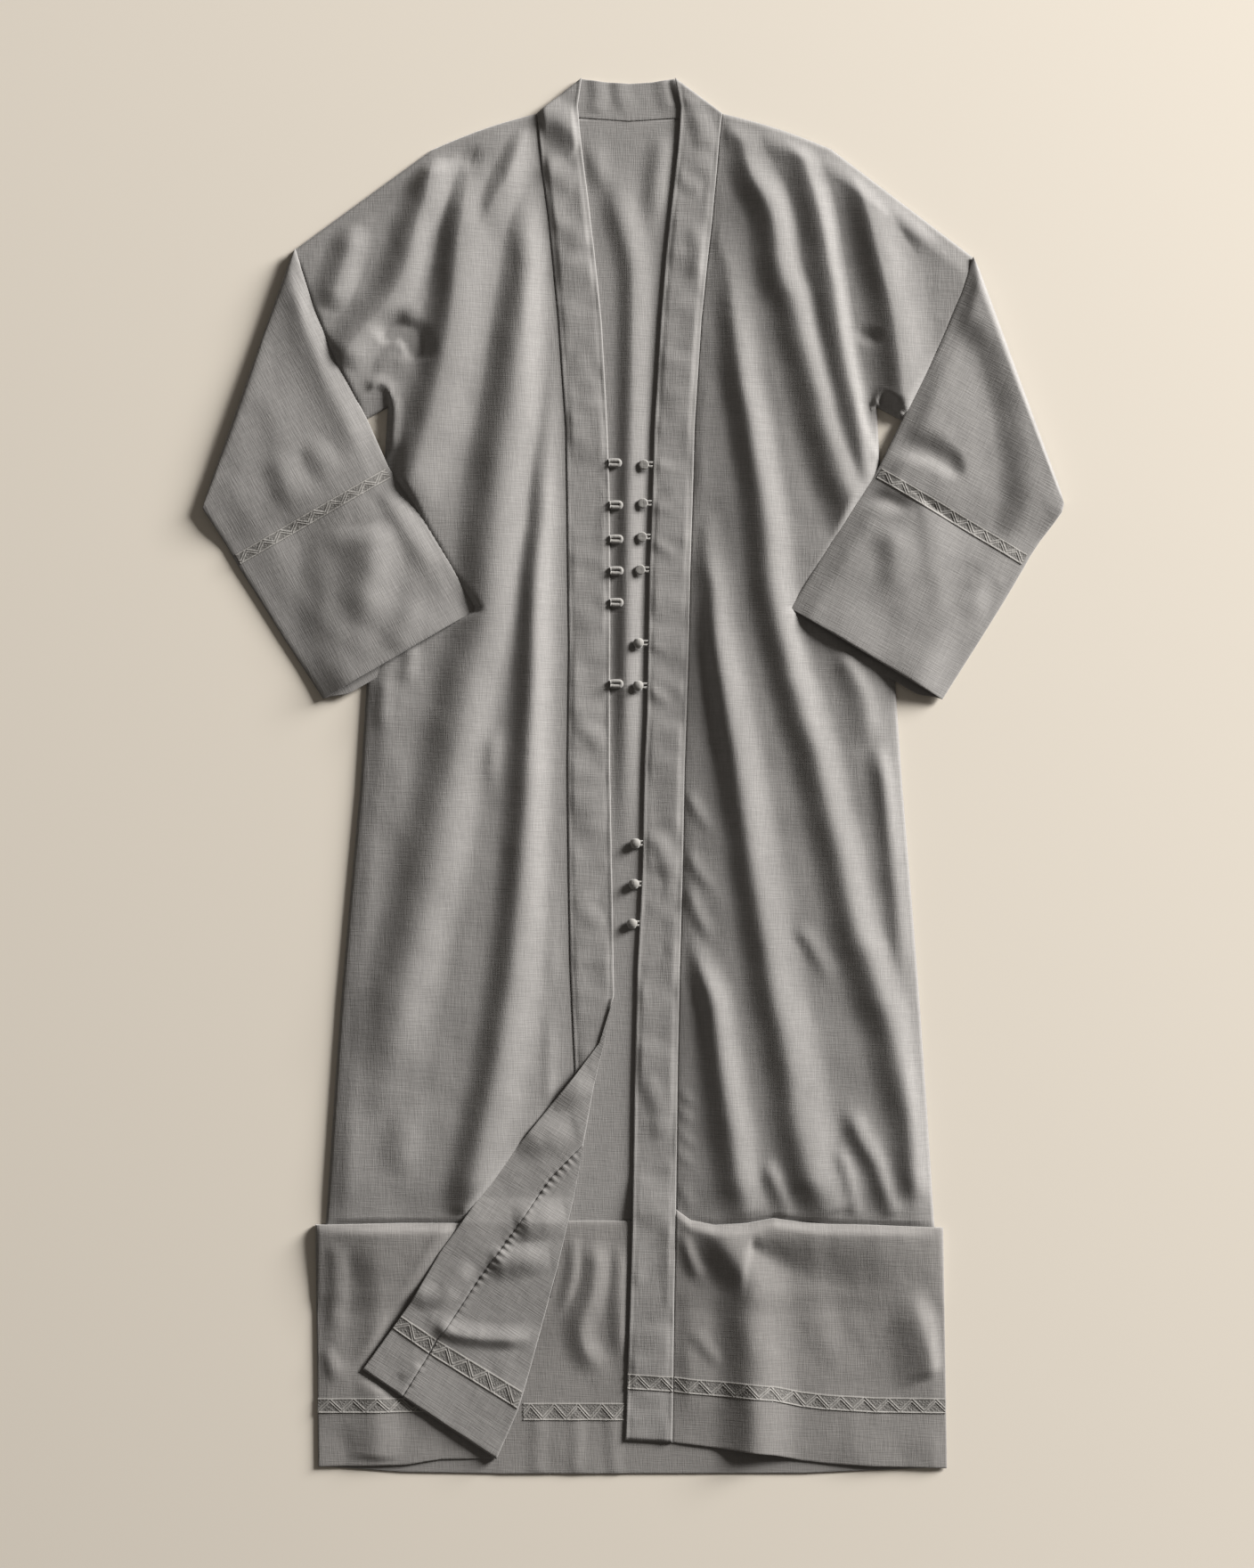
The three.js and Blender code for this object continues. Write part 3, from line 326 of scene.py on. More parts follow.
def fold_height(folds, x, y):
    """Soft folds that meet each other, lifting the cloth or sinking it, and running out at their ends."""
    ridges = np.zeros(x.shape)
    troughs = np.zeros(x.shape)
    for points, height, left, right, shape, fade_in, fade_out in folds:
        line = spline(points)
        reach = max(np.max(left), np.max(right))
        low, high = line.min(0) - reach, line.max(0) + reach
        near = (x > low[0]) & (x < high[0]) & (y > low[1]) & (y < high[1])
        if not near.any():
            continue
        away, side, run, length = nearest(line, x[near], y[near])
        share = run / length
        width = np.where(side < 0, along_fold(left, share), along_fold(right, share))
        s = np.clip(away / width, 0, 1)**shape
        ends = smooth(-0.3 * fade_in, fade_in, run) * smooth(-0.3 * fade_out, fade_out, length - run)
        value = abs(height) * (0.5 + 0.5 * np.cos(math.pi * s)) * ends
        if height > 0:
            ridges[near] += value**3
        else:
            troughs[near] = np.maximum(troughs[near], value)
    return np.cbrt(ridges) - troughs


def noise(x, y, size, seed):
    """Smooth noise from -1 to 1 with features of the given size."""
    grid = np.random.RandomState(seed).uniform(-1, 1, (64, 64))
    u, v = x / size + 1000, y / size + 1000
    i, j = np.floor(u).astype(int), np.floor(v).astype(int)
    s, t = u - i, v - j
    s, t = s * s * (3 - 2 * s), t * t * (3 - 2 * t)
    g = lambda a, b: grid[a % 64, b % 64]
    return lerp(lerp(g(i, j), g(i + 1, j), s), lerp(g(i, j + 1), g(i + 1, j + 1), s), t)


def crumple(x, y, seed, large=0.9, small=0.14):
    """The slight unevenness of linen that lies loose, drawn out along its length."""
    soft = large * (noise(x, y, 62, seed) + 0.4 * noise(x + 0.4 * y, y, 31, seed + 1))
    drawn = 0.55 * large * noise(x + 0.12 * y, y / 4.5, 24, seed + 2)
    fine = small * (noise(x, y / 2, 13, seed + 3) + 0.5 * noise(x - 0.5 * y, y + 0.5 * x, 7, seed + 4))
    return soft + drawn + fine


def outside(outline, x, y):
    """Distance outside a closed outline, below 0 inside it."""
    closed = np.vstack([outline, outline[:1]])
    inside = np.zeros(x.shape, bool)
    for (ax, ay), (bx, by) in zip(closed[:-1], closed[1:]):
        if ay == by:
            continue
        crosses = ((ay > y) != (by > y)) & (x < ax + (y - ay) / (by - ay) * (bx - ax))
        inside ^= crosses
    return np.where(inside, -1, 1) * nearest(closed, x, y)[0]


# ---- Heights of each layer ----
def forearm_outline(side):
    rows = FOREARM[side]
    return np.vstack([rows[:, :2], rows[::-1, 2:]])


CORNER_OUTLINE = np.vstack([[CORNER_TIP], CORNER[:, :2], CORNER[::-1, 4:]])
COVERS = [forearm_outline("left"), forearm_outline("right"), CORNER_OUTLINE]


def pressed(height, x, y):
    """Cloth keeps low under the forearms and the turned corner; its ridges run out as they near them."""
    away = np.minimum.reduce([outside(outline, x, y) for outline in COVERS])
    room = lerp(1.1, 17, smooth(-5, 7, away))
    return (np.maximum(height, 0.01)**-4 + room**-4)**-0.25


FRONT_BASE = 0.9  # how high the fronts stand over the back between their folds
LOFT = 2.0  # what that grows by away from the band
SEAM_REACH = {"left": 38, "right": 9}  # width over which the folds rise beside the band
FOLD_GAIN = 1.12  # the fronts' folds stand this many times as high as their tables say
EDGE_LIFT = 1.8
EDGE_ROUND = 5.0
EDGE_WRAP = 1.3  # how far the rim turns down over the back


def front_outline(side):
    """The shoulder and the sleeve's upper edge, then the underarm and the side."""
    column, arm, first = COLUMN[side], ARM[side], FOREARM[side][0]
    t = np.linspace(0, 1, 9)[:, None]
    shoulder = lerp(np.array([look_up(BAND_SEAM, column, SHOULDER_Y), SHOULDER_Y]), arm["top"], t)
    shoulder[:, 1] += SHOULDER_BULGE * np.sin(math.pi * t[:, 0])
    upper = np.vstack([shoulder, [first[:2]]])
    lower = np.vstack([[first[2:]], [arm["bottom"]], SIDE[:, [column, 0]], [(SIDE[-1, column], -600)]])
    return upper, lower


def rounded(distance, radius):
    """0 at an edge, rising along an arc to 1."""
    return np.sqrt(1 - (1 - np.clip(distance / radius, 0, 1))**2)


def back_bottom(x, y):
    lift = fold_height(BACK_FOLDS, x, y)
    left, right = look_up(FREE_EDGE, 1, y), look_up(FREE_EDGE, 2, y)
    return lift * smooth(0, 7, x - left) * smooth(2, 10, right - x)


def front_bottom(side):
    folds, rim_folds, seed = {
        "left": (LEFT_FOLDS, LEFT_RIM_FOLDS, 11),
        "right": (RIGHT_FOLDS, RIGHT_RIM_FOLDS, 23)}[side]
    column, sign = COLUMN[side], SIGN[side]
    upper, lower = front_outline(side)

    def height(x, y):
        from_seam = np.maximum(sign * (x - look_up(BAND_SEAM, column, y)), 0)
        to_edge = np.minimum(nearest(upper, x, y)[0], nearest(lower, x, y)[0])
        above_tuck = y - look_up(HEM[side][0], 1, x)
        tuck_fade = smooth(0.3, 4, above_tuck) * lerp(0.5, 1, smooth(2, 45, above_tuck))
        lift = FOLD_GAIN * fold_height(folds, x, y) + FRONT_BASE + crumple(x, y, seed)
        lift = lift + LOFT * smooth(0, 80, from_seam)
        inner = smooth(0, SEAM_REACH[side], from_seam) * smooth(0, 22, to_edge)
        rim = fold_height(rim_folds, x, y) * smooth(0, 3, to_edge)
        edge = EDGE_LIFT * rounded(to_edge, EDGE_ROUND) * smooth(0, 50, from_seam)
        high = np.cbrt((np.maximum(lift, 0) * inner)**3 + rim**3)
        over = pressed(high + edge, x, y) * tuck_fade
        wrap = EDGE_WRAP * (1 - smooth(0, 1.4, to_edge)) * (y > TUCK_TOP)
        return CLOTH + GAP + over - wrap
    return height


HEM = {  # lines, folds, seed
    "left": (LEFT_LINES, HEM_LEFT_FOLDS, 41),
    "right": (RIGHT_LINES, HEM_RIGHT_FOLDS, 53),
}
LOW_TOP = 2 * CLOTH + GAP
TUCK_UNDER = 2 * (CLOTH + GAP)
TUCK_BULGE = 7.6  # height of the cloth over the tuck, without its folds
HEM_EDGE_TOP = 2.2  # what that height nears at the sides


def back_hem_tongue(x, y):
    """1 where the back hem runs up into the opening between the fronts, 0 under the two hems."""
    return smooth(TUCK_BOTTOM - 70, TUCK_BOTTOM, y) * smooth(-160, -125, x) * smooth(45, 15, x)


TUCK_FOOT = np.array([  # x, where the tuck's slope ends
    (-320, -532), (110, -532), (120, -478), (150, -496), (180, -512), (230, -524), (310, -532)])


def hem_top(side):
    lines, folds, seed = HEM[side]
    column, sign = COLUMN[side], SIGN[side]

    def height(x, y):
        below = look_up(lines, 1, x) - y
        fall = smooth(look_up(TUCK_FOOT, 1, x), TUCK_TOP - 10, y)
        low = lerp(LOW_TOP, 4.4, smooth(TUCK_BOTTOM - TUCK_FALL, TUCK_BOTTOM, y))
        base = lerp(low, TUCK_BULGE, fall) - 1.4 * (1 - smooth(0, 5, below))
        clear = smooth(-3, 14, outside(CORNER_OUTLINE, x, y)) if side == "left" else 1.0
        to_side = sign * (look_up(HEM_SIDE, column, y) - x)
        puffed = smooth(0, 70, to_side) * smooth(70, 140, np.abs(x))
        full = 0.8 * smooth(-690, -560, y) + 4.4 * fall * puffed
        lift = fold_height(folds, x, y) + 0.7 + crumple(x, y, seed, 1.0) + full
        inner = smooth(0, 10, below) * smooth(0, 16, to_side)
        if side == "right":
            inner = inner * smooth(-2, 18, x - look_up(BAND_SEAM, 2, y))
        high = base + np.maximum(lift, 0) * clear * inner
        return lerp(HEM_EDGE_TOP, high, lerp(0.4, 1, rounded(to_side, 5)))
    return height


def hem_bottom(side):
    top = hem_top(side)
    column, sign = COLUMN[side], SIGN[side]

    def height(x, y):
        in_tuck = smooth(TUCK_BOTTOM - TUCK_FALL, TUCK_BOTTOM, y)
        past_body = sign * (x - look_up(SIDE, column, np.maximum(y, TUCK_BOTTOM)))
        under = lerp(TUCK_UNDER + 0.2, 0.3, smooth(0.5, 3, past_body))
        return np.minimum(lerp(top(x, y) - CLOTH, under, in_tuck), top(x, y) - 0.9)
    return height


def back_hem_bottom(x, y):
    on_back = (CLOTH + GAP) * back_hem_tongue(x, y)
    clear = smooth(-4, 20, outside(CORNER_OUTLINE, x, y))
    below = look_up(BACK_LINES, 1, x) - y
    shown = smooth(-2, 8, look_up(FREE_EDGE, 2, y) - x) * smooth(0, 12, below)
    left = smooth(-6, 6, x - look_up(TURN, 1, y))
    lift = np.maximum(fold_height(HEM_BACK_FOLDS, x, y) + 0.4 + 0.6 * crumple(x, y, 61), 0)
    return on_back + lift * clear * shown * left


def back_hem_top(x, y):
    round_edge = 1 - smooth(0, 4, look_up(BACK_LINES, 1, x) - y)
    thick = lerp(CLOTH, 2.7, back_hem_tongue(x, y))
    return back_hem_bottom(x, y) + thick - 0.8 * round_edge


def seam_puckers(x, y):
    """Small gathers where the turned corner's panel joins its band."""
    away, side, run, _ = nearest(CORNER_SEAM, x, y)
    panel = side > 0
    waves = 0.5 + 0.5 * np.sin(run / 7.6 * 2 * math.pi + 1.3 * np.sin(run / 19))
    strength = smooth(2, 22, run) * (1 - 0.6 * smooth(60, 80, run) * smooth(120, 100, run))
    strength = strength * (1 - 0.7 * smooth(165, 200, run))
    reach = 10 + 3 * np.sin(run / 17)
    fade = np.where(panel, np.clip(1 - away / reach, 0, 1)**1.5, np.clip(1 - away / 5, 0, 1))
    return 1.9 * waves**2 * strength * fade * np.where(panel, 1, 0.3)


def corner_bottom(x, y):
    lift = fold_height(CORNER_FOLDS, x, y) + seam_puckers(x, y)
    lift = lift + np.maximum(0.6 + crumple(x, y, 71, 0.6, 0.2), 0)
    return look_up(CORNER_REST, 1, y) + lift


# ---- Grids of plan points ----
def steps(length, cell, rim=(0.7, 2.2)):
    """Shares of a length, one for each cell, with extra lines close to both ends."""
    count = max(2, int(round((length - 2 * rim[-1]) / cell)))
    middle = np.linspace(rim[-1], length - rim[-1], count + 1)
    return np.concatenate([[0], rim[:-1], middle, length - np.array(rim[:-1])[::-1], [length]]) / length


def between(a, b, u):
    """Rows of plan points from a[i] to b[i]."""
    return a[:, None, :] + (b - a)[:, None, :] * u[None, :, None]


def kimono_grids(side, inner_table, inner_shift, shrink, cell):
    """The body from an inner edge to the armhole and side seam, and the upper sleeve."""
    arm, first, column, sign = ARM[side], FOREARM[side][0], COLUMN[side], SIGN[side]
    elbow_top = np.array([first[0] - sign * shrink, first[1] - shrink])
    elbow_bottom = np.array([first[2] - sign * shrink, first[3]])
    t = steps(SHOULDER_Y - CHEST_Y, cell)[:, None]
    y = lerp(SHOULDER_Y, CHEST_Y, t)
    inner = np.hstack([look_up(inner_table, column, y) + sign * inner_shift, y])
    arm_x = lerp(arm["top"][0], arm["bottom"][0], t**1.5)
    arm_y = lerp(arm["top"][1] - shrink, arm["bottom"][1] + shrink, t)
    arm_line = np.hstack([arm_x, arm_y])
    fold = lerp(elbow_top, elbow_bottom, t)
    across = steps(150, cell)
    body = between(inner, arm_line, across)
    body[:, :, 1] += SHOULDER_BULGE * np.sin(math.pi * across)[None, :] * (1 - t)
    sleeve = between(arm_line, fold, steps(190, cell))
    y2 = lerp(CHEST_Y, TUCK_BOTTOM, steps(CHEST_Y - TUCK_BOTTOM, cell)[:, None])
    inner2 = np.hstack([look_up(inner_table, column, y2) + sign * inner_shift, y2])
    outer_y = y2 + (arm["bottom"][1] + shrink - CHEST_Y) * smooth(CHEST_Y - 150, CHEST_Y, y2)
    outer2 = np.hstack([look_up(SIDE, column, outer_y) - sign * shrink, outer_y])
    outer2[0] = arm_line[-1]
    return [body, sleeve, between(inner2, outer2, across)]


def grid_quads(n):
    """Four-cornered faces of a grid of vertex numbers."""
    return np.stack([n[:-1, :-1], n[:-1, 1:], n[1:, 1:], n[1:, :-1]], -1).reshape(-1, 4)


def turning(corners):
    """Above 0 where a face's four plan points turn anticlockwise."""
    d1, d2 = corners[:, 2] - corners[:, 0], corners[:, 3] - corners[:, 1]
    return d1[:, 0] * d2[:, 1] - d1[:, 1] * d2[:, 0]


def weld(grids):
    """Plan points and faces of grids that share their common edges; the faces turn anticlockwise."""
    points = np.vstack([g.reshape(-1, 2) for g in grids])
    keys = np.round(points * 500).astype(np.int64)
    _, first, number = np.unique(keys, axis=0, return_index=True, return_inverse=True)
    number = number.reshape(-1)
    plan = points[first]
    faces = []
    start = 0
    for g in grids:
        rows, columns = g.shape[:2]
        quads = grid_quads(number[start:start + rows * columns].reshape(rows, columns))
        start += rows * columns
        clockwise = turning(plan[quads]) < 0
        quads[clockwise] = quads[clockwise][:, ::-1]
        faces += [list(dict.fromkeys(q)) for q in quads.tolist()]
    return plan, [f for f in faces if len(f) > 2]


def rim_edges(faces):
    edges = {(a, b) for f in faces for a, b in zip(f, f[1:] + f[:1])}
    return [(a, b) for a, b in edges if (b, a) not in edges]


def collect(name, vertices, faces, material, nodes):
    """Makes a piece of the model from vertices in millimetres."""
    mesh = bpy.data.meshes.new(name)
    mesh.from_pydata((np.asarray(vertices) * MM).tolist(), [], faces)
    mesh.materials.append(material)
    mesh.shade_smooth()
    obj = bpy.data.objects.new(name, mesh)
    bpy.context.scene.collection.objects.link(obj)
    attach(obj, "root")
    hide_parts(*nodes)
    return obj


def shell(name, grids, bottom, top, material, nodes, edge=0.35):
    """A closed wall of cloth between two heights, with slightly rounded edges."""
    plan, faces = weld(grids)
    rim = rim_edges(faces)
    x, y = plan[:, 0], plan[:, 1]
    low, high = bottom(x, y), top(x, y)
    edges = np.array(sorted({i for e in rim for i in e}))
    soft = np.minimum(edge, 0.3 * (high - low)[edges])
    low[edges] += 0.6 * soft
    high[edges] -= soft
    count = len(plan)
    vertices = np.vstack([np.column_stack([plan, low]), np.column_stack([plan, high])])
    shifted = [[i + count for i in f] for f in faces]
    under = [f[::-1] for f in faces]
    walls = [[a, b, b + count, a + count] for a, b in rim]
    return collect(name, vertices, shifted + under + walls, material, nodes)


# ---- Materials ----
def linen(name, color, angle=0.0, contrast=1.0):
    """Plain-woven linen: uneven threads both ways, slubs and slight patches of tone."""
    material = bpy.data.materials.new(name)
    material.use_nodes = True
    nodes, links = material.node_tree.nodes, material.node_tree.links
    shader = nodes["Principled BSDF"]
    place = nodes.new("ShaderNodeTexCoord")
    turn = nodes.new("ShaderNodeMapping")
    turn.inputs["Rotation"].default_value = (0, 0, angle)
    links.new(place.outputs["Object"], turn.inputs["Vector"])

    def threads(scale, detail=2.0):
        stretch = nodes.new("ShaderNodeMapping")
        stretch.inputs["Scale"].default_value = scale
        links.new(turn.outputs["Vector"], stretch.inputs["Vector"])
        texture = nodes.new("ShaderNodeTexNoise")
        texture.inputs["Scale"].default_value = 1.0
        texture.inputs["Detail"].default_value = detail
        links.new(stretch.outputs["Vector"], texture.inputs["Vector"])
        return texture.outputs["Fac"]

    def math_node(operation, a, b):
        node = nodes.new("ShaderNodeMath")
        node.operation = operation
        for socket, value in zip(node.inputs, (a, b)):
            if isinstance(value, (int, float)):
                socket.default_value = value
            else:
                links.new(value, socket)
        return node.outputs[0]

    layers = [
        (threads((900, 70, 60)), 0.30),
        (threads((60, 860, 60)), 0.30),
        (threads((300, 22, 20)), 0.10),
        (threads((18, 320, 20)), 0.10),
        (threads((80, 60, 60)), 0.12),
        (threads((22, 14, 12), 3.0), 0.20),
    ]
    total = None
    for fac, weight in layers:
        part = math_node("MULTIPLY", math_node("SUBTRACT", fac, 0.5), weight * contrast)
        total = part if total is None else math_node("ADD", total, part)
    bright = math_node("ADD", total, 1.0)
    scale = nodes.new("ShaderNodeVectorMath")
    scale.operation = "SCALE"
    scale.inputs[0].default_value = color
    links.new(bright, scale.inputs["Scale"])
    links.new(scale.outputs[0], shader.inputs["Base Color"])
    relief = math_node("ADD", layers[0][0], layers[1][0])
    bump = nodes.new("ShaderNodeBump")
    bump.inputs["Strength"].default_value = 0.5
    bump.inputs["Distance"].default_value = 0.0005
    links.new(relief, bump.inputs["Height"])
    links.new(bump.outputs["Normal"], shader.inputs["Normal"])
    shader.inputs["Roughness"].default_value = 0.82
    shader.inputs["Specular IOR Level"].default_value = 0.25
    shader.inputs["Sheen Weight"].default_value = 0.35
    shader.inputs["Sheen Roughness"].default_value = 0.45
    return material


GREY = (0.204, 0.197, 0.192)
# Painted shade: the hem pieces' grey is the body's grey darkened, standing in for the shade on the hems
HEM_PAINTED_SHADE_GREY = (0.182, 0.174, 0.168)
LINEN = linen("linen", GREY)
SLEEVE_LINEN = {
    "left": linen("linen_left_sleeve", GREY, math.radians(-28)),
    "right": linen("linen_right_sleeve", GREY, math.radians(28)),
}
# The hems' linen is a darker copy of the body's linen, painted shade rather than a different cloth
HEM_PAINTED_SHADE_LINEN = linen("linen_hem_painted_shade", HEM_PAINTED_SHADE_GREY)
CORNER_LINEN = linen("linen_corner", GREY, math.radians(33))
BORDER_CLOTH = linen("border", (0.150, 0.144, 0.137), contrast=0.6)
BORDER_THREAD = linen("border_thread", (0.285, 0.275, 0.262), contrast=0.5)
CORD = linen("cord", (0.215, 0.208, 0.198), contrast=0.5)


# ---- Camera, light and floor ----
DISTANCE = 3.8
FRAME_HEIGHT = 1.584
CENTRE = (-0.0063, -0.0081)


def stage():
    data = bpy.data.cameras.new("camera")
    data.sensor_fit = "VERTICAL"
    data.sensor_height = 36
    data.lens = 36 * DISTANCE / FRAME_HEIGHT
    camera = bpy.data.objects.new("camera", data)
    camera.location = (*CENTRE, DISTANCE)
    bpy.context.scene.collection.objects.link(camera)
    bpy.context.scene.camera = camera
    for name, place, size, energy, color in [
        ("key", (8.45, 5.49, 3.02), 3.8, 4120, (1.0, 0.98, 0.95)),
        ("fill", (-2.0, -1.5, 4.4), 2.6, 3, (1.0, 0.96, 0.92)),
    ]:
        light = bpy.data.lights.new(name, "AREA")
        light.size = size
        light.energy = energy
        light.color = color
        lamp = bpy.data.objects.new(name, light)
        lamp.location = place
        aim = np.array(place)
        lamp.rotation_euler = (math.acos(aim[2] / np.linalg.norm(aim)), 0,
                               math.atan2(aim[1], aim[0]) + math.pi / 2)
        bpy.context.scene.collection.objects.link(lamp)
    world = bpy.context.scene.world or bpy.data.worlds.new("world")
    bpy.context.scene.world = world
    world.use_nodes = True
    background = world.node_tree.nodes["Background"]
    background.inputs["Color"].default_value = (1.0, 0.92, 0.82, 1)
    background.inputs["Strength"].default_value = 0.125
    bpy.context.scene.view_settings.view_transform = "Standard"
    mesh = bpy.data.meshes.new("floor")
    size, low = 4.0, -0.0003
    mesh.from_pydata([(-size, -size, low), (size, -size, low), (size, size, low), (-size, size, low)],
                     [], [(0, 1, 2, 3)])
    floor_material = bpy.data.materials.new("floor")
    floor_material.use_nodes = True
    shader = floor_material.node_tree.nodes["Principled BSDF"]
    shader.inputs["Base Color"].default_value = (0.60, 0.553, 0.485, 1)
    shader.inputs["Roughness"].default_value = 0.9
    mesh.materials.append(floor_material)
    floor = bpy.data.objects.new("floor", mesh)
    bpy.context.scene.collection.objects.link(floor)


stage()


# ---- Body panels ----
def front(side):
    grids = kimono_grids(side, BAND_SEAM, GAP, 0, 2.9)
    bottom = front_bottom(side)
    return shell(f"cloth_front_{side}", grids, bottom, lambda x, y: bottom(x, y) + CLOTH, LINEN,
                 nodes=[f"front_{side}"])


def back():
    """The body and upper sleeves of both sides, and between them the strip that shows in the opening."""
    edge = np.vstack([FREE_EDGE[FREE_EDGE[:, 0] > -210], [(-600, -19.8, 3.6)]])
    u = steps(22, 3, (0.7, 2.0))
    grids = []
    for side in SIDES:
        parts = kimono_grids(side, edge, 0, 1.5, 6)
        middle = []
        for g in (parts[0], parts[2]):
            g[:, 0, 1] = np.minimum(g[:, 0, 1], BACK_NECK_Y)
            start = g[:, 0, :].copy()
            start[:, 0] = 0
            middle.append(between(start, g[:, 0, :], u))
        middle[0][0, :, 1] -= NECK_DIP * (1 - u)
        grids += middle + parts
    return shell("cloth_back", grids, back_bottom, lambda x, y: back_bottom(x, y) + CLOTH, LINEN,
                 nodes=["back_panel"])


# ---- Bands ----
NECK_Y = 623.7  # where the slanted rows of the neck end become level


def band_levels(bottom):
    """Levels of the free edge and of the seam, row by row; the neck end is cut on a slant."""
    neck = np.column_stack([np.linspace(704.7, NECK_Y, 26), np.linspace(SHOULDER_Y, NECK_Y, 26)])
    count = int((NECK_Y - bottom) / 4)
    down = np.linspace(NECK_Y, bottom, count)[1:]
    return np.vstack([neck, np.column_stack([down, down])])


BAND_FOLDS = {
    "left": [
        ([(-98, 668), (-76, 660), (-50, 640)], 4, 26, 26, 0.9, 4, 4),
        ([(-92, 618), (-76, 606), (-58, 596)], 1.6, 18, 20, 1.0, 10, 10),
        ([(-80, 560), (-62, 548), (-48, 530)], 1.5, 16, 18, 1.0, 10, 12),
        ([(-62, 424), (-48, 402), (-36, 380)], 1.3, 18, 16, 1.0, 14, 14),
        ([(-58, 60), (-44, 42), (-30, 30)], 1.1, 14, 16, 1.0, 8, 8),
        ([(-60, -120), (-44, -140), (-28, -150)], 1.1, 16, 16, 1.0, 8, 8),
        ([(-64, -300), (-50, -320), (-42, -340)], 1.4, 14, 14, 1.0, 8, 8),
    ],
    "right": [
        ([(14, 314), (30, 313), (44, 309)], 1.1, 8, 9, 0.9, 4, 20),
        ([(14, 272), (30, 270), (46, 264)], 1.3, 9, 9, 0.9, 4, 20),
        ([(13, 238), (30, 230), (44, 222)], 1.3, 9, 10, 0.9, 4, 20),
        ([(12, 132), (24, 130), (38, 124)], 1.0, 8, 8, 0.9, 4, 18),
        ([(11, 90), (28, 80), (40, 70)], 1.5, 10, 10, 0.9, 4, 20),
        ([(56, 690), (66, 660), (72, 630)], 1.6, 14, 18, 1.0, 10, 16),
        ([(60, 560), (66, 530), (64, 500)], 1.6, 14, 14, 1.0, 14, 14),
        ([(38, 610), (56, 596), (70, 590)], 1.2, 12, 14, 1.0, 8, 8),
        ([(22, -60), (34, -90), (36, -130)], 1.2, 12, 14, 1.0, 16, 16),
        ([(8, -300), (24, -330), (30, -370)], 1.2, 14, 16, 1.0, 16, 16),
    ],
}


def band_edges(side, x, y):
    """Distances from the free edge and from the seam."""
    column = COLUMN[side]
    free = np.abs(x - look_up(FREE_EDGE, column, y))
    return free, np.abs(x - look_up(BAND_SEAM, column, np.minimum(y, SHOULDER_Y)))


def band_bottom(side):
    """What the band lies on, and the soft waves that die out at its edges."""
    def height(x, y):
        free, seam = band_edges(side, x, y)
        waves = 1.1 * noise(x, y, 22, 81) + 1.2 * noise(x, y, 58, 83) + 0.5 * noise(x / 2, y, 11, 85)
        over = np.maximum(1.1 + waves + fold_height(BAND_FOLDS[side], x, y), 0)
        return look_up(BAND_REST, 1, y) + over * smooth(0, 8, np.minimum(free, seam))
    return height


def band_top(side):
    """A double band with a rolled free edge and a fine ridge beside its seam."""
    bottom = band_bottom(side)

    def height(x, y):
        free, seam = band_edges(side, x, y)
        roll = 0.7 * np.exp(-((free - 1.3) / 1.3)**2)
        ridge = 0.4 * np.exp(-((seam - 1.4) / 0.9)**2)
        return bottom(x, y) + BAND + roll + ridge * smooth(690, 640, y)
    return height


def band(side, levels):
    """A front band, through the levels of its free edge and of its seam."""
    free, seam = (np.column_stack([look_up(table, COLUMN[side], levels[:, i]), levels[:, i]])
                  for i, table in enumerate((FREE_EDGE, BAND_SEAM)))
    grid = between(free, seam, steps(46, 1.8, (0.5, 1.4)))
    return shell(f"cloth_band_{side}", [grid], band_bottom(side), band_top(side), LINEN,
                 nodes=[f"band_{side}"])


def right_band():
    """Its rows turn from level to the hem's slant."""
    end = np.column_stack([np.linspace(-574, -670.5, 26), np.linspace(-574, -673, 26)])
    return band("right", np.vstack([band_levels(-570), end]))


def back_band():
    lower = np.array([(-96, 669.3), (-53, 664.3), (-4, 661), (47, 664.4), (89, 669.3)])
    upper = np.array([(-52.5, 704), (-28, 700.5), (-4, 699), (20, 700.5), (41.5, 704)])
    u = steps(150, 2.5)
    along = np.linspace(0, 1, len(lower))
    a = np.column_stack([np.interp(u, along, upper[:, i]) for i in (0, 1)])
    b = np.column_stack([np.interp(u, along, lower[:, i]) for i in (0, 1)])
    grid = between(a, b, steps(38, 2, (0.5, 1.4)))

    def top(x, y):
        folds = [([(-38, 704), (-36, 684), (-40, 668)], 1.3, 12, 14, 1.0, 1, 10),
                 ([(-16, 702), (-13, 684), (-6, 668)], 1.0, 10, 16, 1.0, 1, 16),
                 ([(30, 704), (33, 686), (38, 672)], 1.2, 14, 8, 1.0, 1, 8)]
        clear = smooth(-2, 8, x - look_up(FREE_EDGE, 1, y)) * smooth(-2, 8, look_up(FREE_EDGE, 2, y) - x)
        return BAND + fold_height(folds, x, y) * clear
    return shell("cloth_band_back", [grid], lambda x, y: 0 * x, top, LINEN, nodes=["band_back"])


# ---- Hem pieces ----
def hem(side):
    """Columns follow the piece's width and rows its own lines from the tuck to the hem."""
    lines = HEM[side][0]
    u = steps(260, 3.0)
    rows = []
    for t in steps(240, 3.0):
        level = lerp(TUCK_TOP, -690, t)
        inner = look_up(TURN, 1, level) - 2 if side == "left" else look_up(BAND_SEAM, 2, level) + GAP
        x = lerp(inner, look_up(HEM_SIDE, COLUMN[side], level), u)
        rows.append(np.column_stack([x, lerp(look_up(lines, 1, x), look_up(lines, 3, x), t)]))
    return shell(f"cloth_hem_{side}", [np.array(rows)], hem_bottom(side), hem_top(side), HEM_PAINTED_SHADE_LINEN,
                 nodes=[f"hem_{side}"], edge=0.6)


